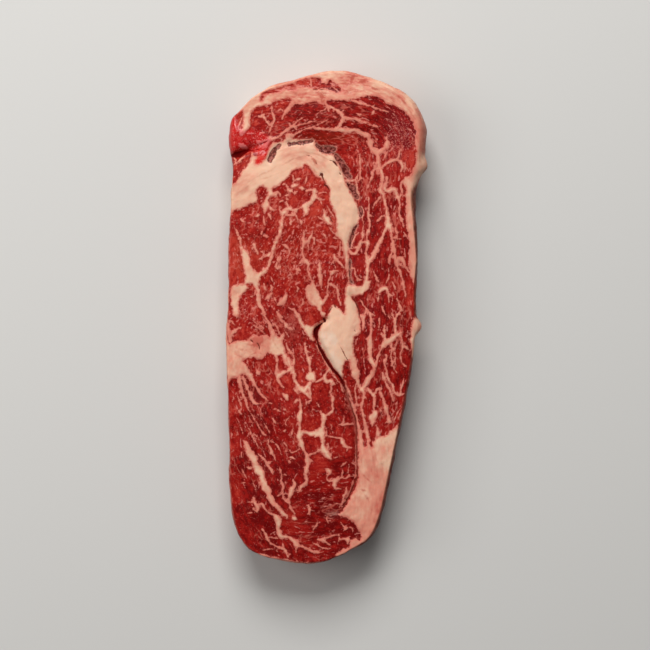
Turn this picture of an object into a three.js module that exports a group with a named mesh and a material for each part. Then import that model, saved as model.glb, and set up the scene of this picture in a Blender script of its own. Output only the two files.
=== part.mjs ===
// A thick boneless rib-eye steak of raw, marbled beef, lying flat: one closed solid.
// Millimetres, +Z up. X runs across the steak and Y along it, and the origin is the middle of the
// flat underside. The cut face on top carries the low domes of the muscles and the grooves between
// them, and the side wall rolls over a shoulder, bulges, and tucks in to the flat underside.
import * as THREE from "three";

const THICKNESS = 28; // over the highest dome of the cut face
const DOME_HEIGHT = 1.6; // how far that dome stands above the level of the face
const MEAT_RED = 0xa33a32;

// The steak's outline seen from above, anticlockwise. The third number is the shoulder: how far
// inside the outline the flat cut face begins.
const BOTTOM_EDGE = [
  [-38.2, -102.6, 1.2],
  [-31, -108, 1.0],
  [-20, -110.2, 0.9],
  [-8, -111.6, 0.9],
  [3, -109.8, 1.0],
  [13.5, -104.6, 1.2],
  [18.4, -101.8, 1.5],
];
const RIGHT_EDGE = [
  [21.8, -97.5, 1.8],
  [25, -89.5, 1.9],
  [29.2, -71, 1.9],
  [33.3, -51, 1.8],
  [37, -31, 1.4],
  [39.6, -14, 1.5],
  [40.4, 0, 1.6],
  [40, 10, 1.2],
  [41, 26, 1.3],
  [40.6, 42, 2.2],
  [40.7, 54, 3.4],
  [42.4, 65, 4.0],
  [45, 76, 4.2],
  [45, 84.5, 4.0],
  [43.2, 90.5, 3.4],
];
const TOP_EDGE = [
  [39.6, 97, 2.6],
  [33, 102.4, 2.0],
  [20.5, 107.4, 1.8],
  [8, 111.2, 1.6],
  [-2, 110.4, 1.4],
  [-14, 107, 1.2],
  [-26, 103.6, 1.2],
  [-34.5, 98.6, 1.2],
];
const LEFT_EDGE = [
  [-39.6, 93, 1.4],
  [-43.2, 89, 2.0],
  [-44.1, 82, 2.4],
  [-43.6, 75, 2.0],
  [-42.7, 69, 1.2],
  [-43.2, 58, 1.0],
  [-44, 46, 1.0],
  [-44.5, 24, 1.0],
  [-44.9, 2, 1.0],
  [-45.6, -16, 1.0],
  [-44.9, -36, 1.0],
  [-44.3, -58, 1.0],
  [-44, -78, 1.0],
  [-42.4, -92, 1.1],
];

// The muscles and the large lump of fat stand a little proud of the cut: centre, half size, rise.
const DOMES = [
  { x: -18, y: 34, across: 24, along: 44, rise: 1.1 }, // upper half of the eye
  { x: -14, y: -62, across: 26, along: 42, rise: 1.3 }, // lower half of the eye
  { x: 27, y: 4, across: 11, along: 60, rise: 0.9 }, // cap muscle down the right side
  { x: 6, y: 93, across: 36, along: 12, rise: 1.1 }, // cap muscle over the end
  { x: -39.5, y: 81, across: 6.5, along: 7, rise: 1.6 }, // loose red lobe at the corner
  { x: 6, y: -10, across: 7.5, along: 15, rise: 1.1 }, // lump of fat in the middle
  { x: -36, y: 57, across: 9, along: 10, rise: 0.7 }, // wide end of the fat crescent
  { x: 21, y: -76, across: 8, along: 24, rise: 0.6 }, // fat wedge at the lower right
];
const DOME_REACH = 1.25; // where a dome has faded out, in half sizes

// Grooves where the meat parts along a seam: a path, with the depth at its start, middle and end.
const GROOVES = [
  {
    // the crevice beside the lump of fat
    depth: [2.2, 2.2, 0.8],
    width: 2.2,
    path: [
      [0, -1.5],
      [-4, -5],
      [-4.4, -9.5],
      [-1.5, -16],
      [3, -24],
      [7, -30],
      [9.5, -38],
      [12.3, -48],
      [13.4, -58],
      [13.4, -69],
      [12, -78],
      [8.5, -84.5],
      [3.5, -89],
    ],
  },
  {
    // the notch under the loose lobe
    depth: [3.4, 3.0, 0.8],
    width: 2.2,
    path: [
      [-46, 73],
      [-41, 73],
      [-35, 75.3],
      [-29, 77.5],
    ],
  },
  {
    // the seam round the fat crescent
    depth: [0.5, 0.9, 0.5],
    width: 1.8,
    path: [
      [-26.5, 70],
      [-22.5, 76.5],
      [-16, 78.4],
      [-7, 78.6],
      [1, 75],
      [6, 69.5],
      [9, 62.5],
      [13.4, 54],
      [15, 48],
      [12.6, 40],
      [10, 32],
      [10, 22],
      [11, 15],
    ],
  },
  {
    // the seam between the cap and the lump of fat
    depth: [0.8, 0.9, 0.4],
    width: 1.5,
    path: [
      [10.5, 9],
      [13.6, 4],
      [15.8, -3],
    ],
  },
];

// Nubs of fat on the right wall: where, how far out, half length along the wall, height, half height.
const NUBS = [
  { x: 43.5, y: 68.5, out: 2.9, along: 3.4, z: 20.5, high: 5.5 },
  { x: 40.6, y: -4.6, out: 2.5, along: 3.4, z: 23.0, high: 4.2 },
];

const RIM_DROP = 1.2; // height of the sharpest shoulder, and how much taller a wide one is
const RIM_DROP_PER_SHOULDER = 2.1;
const FOOT_RADIUS = 3; // rounding where the wall meets the flat underside
const UNDERCUT = 1.8; // how far the wall tucks in below its widest line
const FACE_UNEVENNESS = 0.35;
const WALL_UNEVENNESS = 0.6;

const ACROSS = 38; // grid cells across the cut face
const ALONG = 84; // grid cells along it
const SHOULDER_ROWS = 3;
const WALL_ROWS = 2;
const FOOT_ROWS = 2;

const smooth = (t) => t * t * (3 - 2 * t);
const clamp01 = (t) => Math.min(1, Math.max(0, t));

// Distance from a point to a path of straight pieces, and how far along the path (0 to 1) it falls.
function nearestOnPath(path, x, y) {
  let best = { distance: Infinity, along: 0 };
  for (let i = 0; i + 1 < path.length; i++) {
    const [ax, ay] = path[i];
    const [bx, by] = path[i + 1];
    const length2 = (bx - ax) ** 2 + (by - ay) ** 2;
    const t = clamp01(((x - ax) * (bx - ax) + (y - ay) * (by - ay)) / length2);
    const distance = Math.hypot(x - ax - t * (bx - ax), y - ay - t * (by - ay));
    if (distance < best.distance) best = { distance, along: (i + t) / (path.length - 1) };
  }
  return best;
}

// A value that goes from the first to the second to the third of three as t goes from 0 to 1.
function threeWay([start, middle, end], t) {
  return t < 0.5 ? start + (middle - start) * 2 * t : middle + (end - middle) * (2 * t - 1);
}

// Gentle unevenness of soft meat, between -1 and 1: three crossed waves of different length.
function unevenness(x, y, z) {
  const broad = Math.sin(x / 7.1 + y / 11.3 + 0.7);
  const cross = Math.sin(y / 6.3 - x / 9.7 + z / 5.2);
  const fine = Math.sin(y / 3.4 + z / 3.1 + 2.1);
  return 0.45 * broad + 0.35 * cross + 0.2 * fine;
}

// Height of the cut face at a point: the slab's thickness, the domes on it and the grooves in it.
function faceHeight(x, y) {
  let height = THICKNESS - DOME_HEIGHT + FACE_UNEVENNESS * unevenness(x, y, 0);
  for (const dome of DOMES) {
    const reach = Math.hypot((x - dome.x) / dome.across, (y - dome.y) / dome.along);
    height += dome.rise * smooth(clamp01(DOME_REACH - reach));
  }
  for (const groove of GROOVES) {
    const { distance, along } = nearestOnPath(groove.path, x, y);
    const depth = threeWay(groove.depth, along);
    height -= depth * Math.exp(-((distance / groove.width) ** 2));
  }
  return height;
}

// The closed outline as a smooth curve whose z is the shoulder, and the place of each edge on it.
const EDGES = [BOTTOM_EDGE, RIGHT_EDGE, TOP_EDGE, LEFT_EDGE];
const outlinePoints = EDGES.flat().map(([x, y, shoulder]) => new THREE.Vector3(x, y, shoulder));
const outline = new THREE.CatmullRomCurve3(outlinePoints, true, "centripetal");

// Points spaced evenly along the outline from one control point to another, the last left out.
function evenPoints(firstIndex, lastIndex, count) {
  const samples = 40 * count;
  const dense = [];
  const travelled = [0];
  for (let i = 0; i <= samples; i++) {
    const index = firstIndex + ((lastIndex - firstIndex) * i) / samples;
    dense.push(outline.getPoint(index / outlinePoints.length));
    if (i) travelled.push(travelled[i - 1] + dense[i].distanceTo(dense[i - 1]));
  }
  const points = [];
  for (let k = 0, i = 0; k < count; k++) {
    const wanted = (travelled[samples] * k) / count;
    while (travelled[i + 1] < wanted) i++;
    const share = (wanted - travelled[i]) / (travelled[i + 1] - travelled[i]);
    points.push(dense[i].clone().lerp(dense[i + 1], share));
  }
  return points;
}

// The loop of outline points round the steak, with the outward normal of each.
function outlineLoop() {
  const counts = [ACROSS, ALONG, ACROSS, ALONG];
  let first = 0;
  const loop = EDGES.flatMap((edge, side) => {
    const points = evenPoints(first, first + edge.length, counts[side]);
    first += edge.length;
    return points;
  });
  const normals = loop.map((_, i) => {
    const before = loop[(i + loop.length - 1) % loop.length];
    const after = loop[(i + 1) % loop.length];
    return new THREE.Vector2(after.y - before.y, before.x - after.x).normalize();
  });
  return { loop, normals };
}

// How far a nub of fat pushes the wall outwards at a point of it.
function nubAt(x, y, z) {
  let out = 0;
  for (const nub of NUBS) {
    const along = Math.hypot(x - nub.x, y - nub.y) / nub.along;
    out += nub.out * Math.exp(-(along ** 2) - ((z - nub.z) / nub.high) ** 2);
  }
  return out;
}

// The wall's section below one point of the rim, from the rim down to the foot: pairs of inset
// from the outline and height. An elliptic shoulder, a wall that tucks in, and a round foot.
function wallSection(shoulder, rimHeight) {
  const drop = RIM_DROP + RIM_DROP_PER_SHOULDER * shoulder;
  const widest = rimHeight - drop;
  const section = [];
  for (let i = 1; i <= SHOULDER_ROWS; i++) {
    const angle = ((i / SHOULDER_ROWS) * Math.PI) / 2;
    section.push([shoulder * (1 - Math.sin(angle)), rimHeight - drop * (1 - Math.cos(angle))]);
  }
  for (let i = 1; i <= WALL_ROWS; i++) {
    const share = i / WALL_ROWS;
    section.push([UNDERCUT * share ** 1.5, widest - (widest - FOOT_RADIUS) * share]);
  }
  for (let i = 1; i <= FOOT_ROWS; i++) {
    const angle = ((i / FOOT_ROWS) * Math.PI) / 2;
    const inset = UNDERCUT + FOOT_RADIUS * (1 - Math.cos(angle));
    section.push([inset, FOOT_RADIUS * (1 - Math.sin(angle))]);
  }
  return section;
}

// The cut face: a Coons patch over the rim, which blends the rim's four sides into a grid.
function facePoint(rim, column, row) {
  const u = column / ACROSS;
  const v = row / ALONG;
  const corner = [0, ACROSS, ACROSS + ALONG, 2 * ACROSS + ALONG];
  const bottom = rim[column];
  const right = rim[corner[1] + row];
  const top = rim[corner[3] - column];
  const left = rim[(rim.length - row) % rim.length];
  const [c00, c10, c11, c01] = corner.map((i) => rim[i]);
  const blend = (axis) =>
    (1 - v) * bottom[axis] + v * top[axis] + (1 - u) * left[axis] + u * right[axis] -
    (1 - u) * (1 - v) * c00[axis] - u * (1 - v) * c10[axis] -
    u * v * c11[axis] - (1 - u) * v * c01[axis];
  return [blend("x"), blend("y")];
}

function steakGeometry() {
  const { loop, normals } = outlineLoop();
  const around = loop.length;
  const positions = [];
  const triangles = [];
  const height = (index) => positions[3 * index + 2];
  // A quad is split along the diagonal that runs more level, so grooves keep a smooth floor.
  const addQuad = (a, b, c, d) => {
    const levelAC = Math.abs(height(a) - height(c));
    const levelBD = Math.abs(height(b) - height(d));
    if (levelAC <= levelBD) triangles.push(a, b, c, a, c, d);
    else triangles.push(a, b, d, b, c, d);
  };

  // The rim of the cut face comes first, then its inner grid points, row by row.
  const rim = loop.map((point, i) => new THREE.Vector2(
    point.x - normals[i].x * point.z,
    point.y - normals[i].y * point.z,
  ));
  for (const point of rim) positions.push(point.x, point.y, faceHeight(point.x, point.y));
  const faceIndex = (column, row) => {
    if (row === 0) return column;
    if (column === ACROSS) return ACROSS + row;
    if (row === ALONG) return 2 * ACROSS + ALONG - column;
    if (column === 0) return around - row;
    return around + (row - 1) * (ACROSS - 1) + column - 1;
  };
  for (let row = 1; row < ALONG; row++) {
    for (let column = 1; column < ACROSS; column++) {
      const [x, y] = facePoint(rim, column, row);
      positions.push(x, y, faceHeight(x, y));
    }
  }
  for (let row = 0; row < ALONG; row++) {
    for (let column = 0; column < ACROSS; column++) {
      addQuad(
        faceIndex(column, row),
        faceIndex(column + 1, row),
        faceIndex(column + 1, row + 1),
        faceIndex(column, row + 1),
      );
    }
  }

  // The wall, one ring of points for each row of its section. Its last ring lies on the ground.
  const rows = SHOULDER_ROWS + WALL_ROWS + FOOT_ROWS;
  const wallStart = positions.length / 3;
  const sections = loop.map((point, i) => wallSection(point.z, faceHeight(rim[i].x, rim[i].y)));
  for (let row = 0; row < rows; row++) {
    for (let i = 0; i < around; i++) {
      const [inset, z] = sections[i][row];
      const free = Math.sin((Math.PI * z) / THICKNESS); // 0 at the foot and the rim
      const x = loop[i].x;
      const y = loop[i].y;
      const out = nubAt(x, y, z) + WALL_UNEVENNESS * free * unevenness(x, y, z) - inset;
      positions.push(x + normals[i].x * out, y + normals[i].y * out, Math.max(0, z));
    }
  }
  const wallIndex = (row, i) => (row < 0 ? i : wallStart + row * around + i);
  for (let row = -1; row < rows - 1; row++) {
    for (let i = 0; i < around; i++) {
      const next = (i + 1) % around;
      addQuad(wallIndex(row + 1, i), wallIndex(row + 1, next), wallIndex(row, next), wallIndex(row, i));
    }
  }

  // The flat underside fills the last ring.
  const footStart = wallStart + (rows - 1) * around;
  const foot = loop.map((_, i) => {
    const at = 3 * (footStart + i);
    return new THREE.Vector2(positions[at], positions[at + 1]);
  });
  for (const [a, b, c] of THREE.ShapeUtils.triangulateShape(foot, [])) {
    triangles.push(footStart + a, footStart + c, footStart + b);
  }

  const geometry = new THREE.BufferGeometry();
  geometry.setAttribute("position", new THREE.Float32BufferAttribute(positions, 3));
  geometry.setIndex(triangles);
  geometry.computeVertexNormals();
  return geometry;
}

const rawMeat = new THREE.MeshStandardMaterial({ color: MEAT_RED, roughness: 0.45, metalness: 0 });
const steak = new THREE.Mesh(steakGeometry(), rawMeat);
steak.name = "steak";

const group = new THREE.Group();
group.add(steak);
export default group;
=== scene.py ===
# %% [markdown]
# # A raw rib-eye steak
#
# The steak is one closed slab of meat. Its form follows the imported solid: the same outline, domes,
# grooves and side wall, worked out here on a much finer grid. What makes it a rib-eye is painted
# on that form as fields: every point of the surface knows how deep it lies inside fat, how far it
# is from the middle of the nearest vein, and which way the fibres run there. The material turns
# these fields into fat, marbling and lean meat.

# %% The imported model
import math
from types import SimpleNamespace

import bpy
import numpy as np
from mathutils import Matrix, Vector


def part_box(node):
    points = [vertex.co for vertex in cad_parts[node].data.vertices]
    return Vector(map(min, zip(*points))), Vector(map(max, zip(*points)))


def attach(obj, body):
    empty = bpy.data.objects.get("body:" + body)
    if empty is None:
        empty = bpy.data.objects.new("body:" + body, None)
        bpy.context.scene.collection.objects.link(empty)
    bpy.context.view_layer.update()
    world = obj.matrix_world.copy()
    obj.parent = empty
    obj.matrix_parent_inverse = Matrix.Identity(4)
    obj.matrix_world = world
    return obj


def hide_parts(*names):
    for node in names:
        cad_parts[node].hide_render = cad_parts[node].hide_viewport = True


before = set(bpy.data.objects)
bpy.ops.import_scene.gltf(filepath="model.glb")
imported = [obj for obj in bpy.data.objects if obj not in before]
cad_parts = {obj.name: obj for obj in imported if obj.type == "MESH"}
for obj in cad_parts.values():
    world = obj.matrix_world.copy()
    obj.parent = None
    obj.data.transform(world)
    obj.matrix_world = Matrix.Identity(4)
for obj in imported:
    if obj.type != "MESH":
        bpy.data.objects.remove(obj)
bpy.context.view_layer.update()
MM = 0.001  # one millimetre in Blender's metres
TINY = 1e-9  # the least that a sum divides by
FACE_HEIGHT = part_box("steak")[1].z / MM

# %% [markdown]
# ## Camera
#
# The steak is seen from straight above, its long side upright in the view. A long lens from about
# a metre up keeps the side walls out of sight, as they are on a steak that is looked at from
# above.

# %% Camera
VIEW_CENTRE = (-0.9, -4.05)  # mm, the point of the cut face in the middle of the view
VIEW_WIDTH = 292.5  # mm across the view at the height of the cut face
LENS = 120
SENSOR = 36


def in_scene(name, data):
    """A new object in the scene, made from its data."""
    made = bpy.data.objects.new(name, data)
    bpy.context.scene.collection.objects.link(made)
    return made


def overhead_camera():
    """A camera above the view centre, looking down, at the distance where the view is that wide."""
    data = bpy.data.cameras.new("overhead")
    data.lens = LENS
    data.sensor_width = SENSOR
    camera = in_scene("overhead", data)
    distance = VIEW_WIDTH * LENS / SENSOR
    camera.location = (VIEW_CENTRE[0] * MM, VIEW_CENTRE[1] * MM, (FACE_HEIGHT + distance) * MM)
    bpy.context.scene.camera = camera
    return camera


camera = overhead_camera()
print("camera height, metres:", round(camera.location.z, 3))

# %% [markdown]
# ## The outline
#
# The outline is a closed smooth curve through a few points. Each point also carries the shoulder:
# how far inside the outline the flat cut face begins. A centripetal Catmull-Rom curve goes through
# its points without loops or overshoot, so the steak keeps exactly the corners given here.

# %% Outline points, mm: x, y, shoulder
BOTTOM_EDGE = [
    (-38.2, -102.6, 1.2), (-31, -108, 1), (-20, -110.2, 0.9), (-8, -111.6, 0.9),
    (3, -109.8, 1), (13.5, -104.6, 1.2), (18.4, -101.8, 1.5),
]
RIGHT_EDGE = [
    (21.8, -97.5, 1.8), (25, -89.5, 1.9), (29.2, -71, 1.9), (33.3, -51, 1.8), (37, -31, 1.4),
    (39.6, -14, 1.5), (40.4, 0, 1.6), (40, 10, 1.2), (41, 26, 1.3), (40.6, 42, 2.2),
    (40.7, 54, 3.4), (42.4, 65, 4), (45, 76, 4.2), (45, 84.5, 4), (43.2, 90.5, 3.4),
]
TOP_EDGE = [
    (39.6, 97, 2.6), (33, 102.4, 2), (20.5, 107.4, 1.8), (8, 111.2, 1.6),
    (-2, 110.4, 1.4), (-14, 107, 1.2), (-26, 103.6, 1.2), (-34.5, 98.6, 1.2),
]
LEFT_EDGE = [
    (-39.6, 93, 1.4), (-43.2, 89, 2), (-44.1, 82, 2.4), (-43.6, 75, 2), (-42.7, 69, 1.2),
    (-43.2, 58, 1), (-44, 46, 1), (-44.5, 24, 1), (-44.9, 2, 1), (-45.6, -16, 1),
    (-44.9, -36, 1), (-44.3, -58, 1), (-44, -78, 1), (-42.4, -92, 1.1),
]
EDGES = [BOTTOM_EDGE, RIGHT_EDGE, TOP_EDGE, LEFT_EDGE]


def smooth_curve(points, closed, steps):
    """Centripetal Catmull-Rom: each span is a cubic whose end tangents come from the neighbouring
    points, weighted by the square roots of the distances between them."""
    p = np.asarray(points, float)
    if closed:
        before, start, end, after = np.roll(p, 1, 0), p, np.roll(p, -1, 0), np.roll(p, -2, 0)
    else:
        padded = np.vstack([2 * p[0] - p[1], p, 2 * p[-1] - p[-2]])
        before, start, end, after = padded[:-3], padded[1:-2], padded[2:-1], padded[3:]
    gap0, gap1, gap2 = (
        np.maximum(np.linalg.norm(b - a, axis=1), TINY)[:, None] ** 0.5
        for a, b in ((before, start), (start, end), (end, after))
    )
    leave = ((start - before) / gap0 - (end - before) / (gap0 + gap1) + (end - start) / gap1) * gap1
    arrive = ((end - start) / gap1 - (after - start) / (gap1 + gap2) + (after - end) / gap2) * gap1
    t = (np.arange(steps) / steps)[None, :, None]
    a, b, m, n = (v[:, None] for v in (start, end, leave, arrive))
    curve = a + m * t + (3 * b - 3 * a - 2 * m - n) * t**2 + (2 * a - 2 * b + m + n) * t**3
    curve = curve.reshape(-1, p.shape[1])
    return curve if closed else np.vstack([curve, p[-1]])


def distance_along(curve):
    """How far it is along the curve to each of its points."""
    return np.r_[0, np.cumsum(np.linalg.norm(np.diff(curve, axis=0), axis=1))]


# %% Evenly spaced loop
ACROSS = 150  # cells across the cut face
ALONG = 368  # cells along it
DENSE = 200  # samples of each span before it is spaced evenly


def outline_loop():
    """Points evenly spaced by arc length on each of the four edges, and their outward normals."""
    dense = smooth_curve(sum(EDGES, []), True, DENSE)
    dense = np.vstack([dense, dense[:1]])
    loop, first = [], 0
    for edge, count in zip(EDGES, (ACROSS, ALONG, ACROSS, ALONG)):
        part = dense[first * DENSE : (first + len(edge)) * DENSE + 1]
        travelled = distance_along(part)
        wanted = travelled[-1] * np.arange(count) / count
        loop.append(np.stack([np.interp(wanted, travelled, part[:, k]) for k in range(3)], 1))
        first += len(edge)
    loop = np.vstack(loop)
    along = np.roll(loop[:, :2], -1, 0) - np.roll(loop[:, :2], 1, 0)
    normals = np.stack([along[:, 1], -along[:, 0]], 1)
    return loop, normals / np.linalg.norm(normals, axis=1)[:, None]


loop, loop_normals = outline_loop()
print("points round the outline:", len(loop))

# %% [markdown]
# ## Noise
#
# Meat is uneven at every size. Smooth noise is made by giving each corner of a grid of cubes a
# random value from its own coordinates and blending between the corners. The same seed always
# gives the same value, so the steak never changes between runs.

# %% Smooth noise
WORD = 0xFFFFFFFF  # the largest number of 32 bits
SEED_MIXER = 0x9E3779B1
BIT_MIXERS = [(0x85EBCA6B, 13), (0xC2B2AE35, 16)]  # what to multiply by, and how far to shift


def lattice(cells, seed):
    """A repeatable random number from 0 to 1 for each whole-number cell, by mixing its bits."""
    mixed = np.full(cells.shape[:-1], seed * SEED_MIXER & WORD, np.uint64)
    for k in range(cells.shape[-1]):
        mixed ^= (cells[..., k].astype(np.int64) & WORD).astype(np.uint64)
        for factor, shift in BIT_MIXERS:
            mixed = (mixed * np.uint64(factor)) & np.uint64(WORD)
            mixed ^= mixed >> np.uint64(shift)
    return mixed.astype(float) / WORD


def noise(points, size, seed):
    """Smooth noise between -1 and 1: the corners' random values, blended by 3t^2 - 2t^3."""
    p = np.asarray(points, float) / size
    base = np.floor(p)
    t = p - base
    t = t * t * (3 - 2 * t)
    total = 0
    dims = p.shape[-1]
    for corner in range(2**dims):
        offset = np.array([(corner >> k) & 1 for k in range(dims)])
        weight = np.prod(np.where(offset, t, 1 - t), axis=-1)
        total = total + weight * lattice(base + offset, seed)
    return 2 * total - 1


def layered(points, layers, seed_step=0):
    """Sum of noises, each given by its size, seed and strength."""
    return sum(strength * noise(points, size, seed + seed_step) for size, seed, strength in layers)


def smoothstep(low, high, value):
    """0 below low, 1 above high, and 3t^2 - 2t^3 between."""
    t = np.clip((value - low) / (high - low), 0, 1)
    return t * t * (3 - 2 * t)


# %% [markdown]
# ## Veins and regions of fat
#
# Marbling is a tree of veins, from trunks 3 mm thick to hairs. Each vein here is a path with a
# half width at each point. The broad pieces of fat between the muscles are drawn by their borders.
# Coordinates are millimetres on the cut face, x across and y along the steak.

# %% Borders of the broad fat
CRESCENT = [
    (-47, 46), (-43.4, 46.4), (-41, 47.7), (-38.5, 48.3), (-35.5, 49.8), (-31.8, 51), (-31.3, 53.5),
    (-31.7, 56.5), (-30, 57.9), (-28.5, 58.2), (-27.1, 57), (-26.9, 54.5), (-28.4, 52),
    (-29.3, 49.5), (-28.1, 46.2), (-27, 48.4), (-25.8, 49.2), (-26.2, 52), (-25.2, 53.9),
    (-23.6, 54), (-21.6, 54.5), (-21.8, 55.6), (-24.3, 56), (-24.6, 57.6), (-22, 58.4),
    (-20.2, 60.2), (-16.7, 63.2), (-15.5, 65), (-13.5, 66.3), (-11, 66.4), (-9.5, 68), (-7.3, 66.3),
    (-5.3, 62.7), (-3, 62.3), (-0.4, 59.6), (1, 56.5), (0.9, 53), (1.5, 50.5), (3.3, 46.5),
    (3.9, 42), (4.2, 38), (4.1, 36), (6.3, 34), (7, 30), (7.9, 26), (8.6, 20), (9.2, 15), (8.9, 10),
    (10.6, 10), (10.2, 15), (9.8, 20), (10, 27), (9.8, 31), (11, 37), (13.6, 41.3), (14.6, 43.8),
    (14.2, 49), (12.5, 53), (10.2, 57), (8.4, 60.5), (7.4, 64.5), (5, 68.5), (3, 72.7),
    (-1.5, 73.4), (-4.9, 76.6), (-5.8, 79.3), (-11, 79.9), (-15, 80), (-17.3, 82.4), (-18.7, 80),
    (-21, 78.5), (-24.5, 78.4), (-26.6, 75), (-28.3, 73.4), (-31, 72), (-33, 72.8), (-33.9, 74),
    (-34.8, 70.5), (-39, 63.7), (-41.2, 60.3), (-43.6, 58), (-47, 57),
]
KERNEL = [
    (8.5, 14), (8.1, 9), (7.7, 5), (8.1, 1.2), (5.4, 3.7), (2.8, 5), (0.8, 1.8), (-0.7, -1.2),
    (-3.1, -4.8), (-4.2, -8), (-3.8, -11), (-3.1, -13.4), (-1.2, -17.4), (2.3, -22.8), (4.8, -26),
    (7.2, -28.9), (7.3, -25), (8.4, -20.5), (9.9, -20.2), (10.4, -24), (12, -28.6), (13.6, -28.9),
    (14.7, -27.3), (13.7, -21.5), (12.2, -16.5), (11.9, -11.5), (12.6, -9.2), (15, -8.2),
    (15.4, -4.5), (14.8, 0), (13.5, 5), (11.2, 8.9), (15, 9.1), (17.8, 11.2), (20.3, 16),
    (18.6, 16.2), (18.1, 19), (17.2, 18), (16.3, 14.4), (14.6, 13.4), (11, 14.3),
]
WEDGE = [
    (14, -50), (14.1, -58), (14, -66), (13.9, -73), (12.9, -77.7), (10, -82.5), (7.5, -87),
    (4.9, -89.6), (9, -90.8), (12, -93.2), (14.5, -97.5), (15.6, -99), (14.9, -100.4), (18, -106),
    (26, -101), (30, -80), (36, -50), (33.6, -46), (32, -49.3), (28, -52.2), (25.6, -54.2),
    (22, -55), (20.9, -56.5), (20.2, -59.6), (19.5, -57.5), (18.6, -53.5), (17.6, -54.5),
    (17.7, -58), (17, -59.8), (16.2, -55.5), (15.4, -50.8),
]
LEFT_PATCH = [
    (-49, -13), (-43.6, -12.6), (-40, -11), (-36, -10.9), (-34.6, -9), (-31.5, -8.8), (-28, -8.4),
    (-25.6, -9.8), (-24.6, -5.5), (-22.7, -8.3), (-21.5, -9.7), (-19.6, -7.1), (-18.8, -8.4),
    (-19.7, -11.5), (-18.6, -16.5), (-16.4, -22.7), (-18.5, -22.3), (-20.5, -17.9), (-22.7, -18.4),
    (-26.7, -16.7), (-29, -19.4), (-31.3, -19.8), (-33, -18.7), (-38.3, -20.5), (-35.4, -22.7),
    (-33.8, -27.4), (-32.8, -29.8), (-34.5, -29), (-36.6, -26.6), (-38.5, -26.2), (-39.8, -28),
    (-42.6, -28), (-45, -31), (-49, -30),
]
LEFT_STRIP = [
    (-43.3, 13), (-40, 14.2), (-36.9, 14.6), (-35.4, 12.6), (-37.8, 10), (-39.6, 7), (-39.4, 1.5),
    (-40.6, -1), (-42.3, 0.8), (-43.2, 5),
]
EYE_FORK = [
    (-36.9, 14.2), (-37, 18), (-38.3, 26), (-39.6, 34), (-42.4, 41), (-40, 38.2), (-37.4, 30.6),
    (-35.4, 28.6), (-34.5, 24), (-31.7, 19.8), (-30.2, 20.1), (-28.8, 21.8), (-27.8, 21.2),
    (-26.4, 25), (-24.8, 31.5), (-22, 37.5), (-20.9, 43.5), (-19.7, 42), (-20.3, 38), (-22.7, 31.7),
    (-24.8, 25.4), (-27.3, 19.2), (-30.1, 17), (-30.3, 11), (-29, 3.6), (-30.2, 3), (-31.9, 6.5),
    (-32.2, 13), (-34.4, 14.2),
]
TOP_BAND = [
    (-42, 95), (-38.3, 93), (-37.8, 86.5), (-39.5, 81.2), (-37.2, 81.8), (-35, 85), (-34.1, 91.8),
    (-30, 94.4), (-24.6, 95.5), (-24.6, 96.8), (-20, 97.6), (-17.3, 98.6), (-16, 97), (-14.5, 95.6),
    (-12.5, 95.2), (-6, 96.5), (-3.2, 95.9), (-1.2, 94.6), (0.2, 97), (10, 97), (13, 98),
    (20, 99.1), (24.2, 98.5), (27.2, 95.8), (31, 94.2), (35.2, 91.6), (38.2, 88.3), (39.8, 84),
    (39.8, 79), (40.2, 74), (39.6, 68), (37.3, 63.2), (34.6, 62.3), (34.2, 60.6), (35.4, 58),
    (35.2, 50), (35.9, 40), (37.2, 31), (36.7, 25), (37.2, 20), (38.3, 16.5), (39.2, 14), (46, 20),
    (50, 80), (36, 108), (8, 116), (-30, 107), (-44, 98),
]
STAR = [
    (-6.6, 16.2), (-4.8, 12.8), (-2.8, 8.6), (-2.1, 6.9), (-0.1, 9.6), (0.3, 8.6), (-1.1, 5.5),
    (-2.2, 4.5), (-1.9, 2.6), (-0.6, 1.4), (-0.7, -0.6), (-1.8, -0.4), (-4.2, 2.6), (-5.3, 4.4),
    (-7.3, 5), (-8.6, 7.2), (-9.6, 10), (-9.6, 13), (-8.6, 14.5), (-7.4, 14.6),
]
ISLAND = [  # pale patch on the eye's side of the crevice
    (-10.9, -3.7), (-8, -4.4), (-4.2, -2.9), (-2.3, -1.4), (-1.8, -2.8), (-3.7, -4.3), (-5.6, -5.6),
    (-6.4, -7.2), (-5.8, -11.4), (-7.2, -11.2), (-9.7, -8),
]
EYE_BLOB = [(-9.7, -27.4), (-8.8, -25.8), (-7.2, -24.9), (-5.6, -25.4), (-4.9, -28), (-5.6, -29.7),
            (-8.3, -29.4)]
EYE_TRIANGLE = [
    (-5.6, -51.7), (-3.5, -50.4), (-2.5, -47.8), (-3, -44.5), (-3.3, -42.6), (-1.6, -43.5),
    (0, -44.8), (-0.8, -47.5), (-1, -52), (-1.5, -57.6), (-2.6, -57.4), (-3.4, -54.9), (-6, -54.2),
]
CORNER_LUMP = [(10.3, -103), (10.9, -101.1), (13, -100.5), (15.6, -101.6), (17, -107), (11, -108)]
EDGE_LUMP = [(4.2, -107.6), (6.7, -105.3), (9.6, -104.4), (11, -106), (5, -111)]
RIGHT_STRIP = [(37.4, -9), (38.2, -5.5), (38.8, -1.5), (41, 1), (46, -2), (44, -16), (38.8, -15.2),
               (37.6, -12.5)]
WHITE_BLADE = [(-3.3, 25), (-2.6, 21.5), (-2, 16), (-2.1, 12), (-3.1, 14), (-4.3, 19), (-4.3, 23)]
FAT_BORDERS = [CRESCENT, KERNEL, WEDGE, LEFT_PATCH, LEFT_STRIP, EYE_FORK, TOP_BAND, STAR, ISLAND,
               EYE_BLOB, EYE_TRIANGLE, CORNER_LUMP, EDGE_LUMP, RIGHT_STRIP, WHITE_BLADE]

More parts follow.
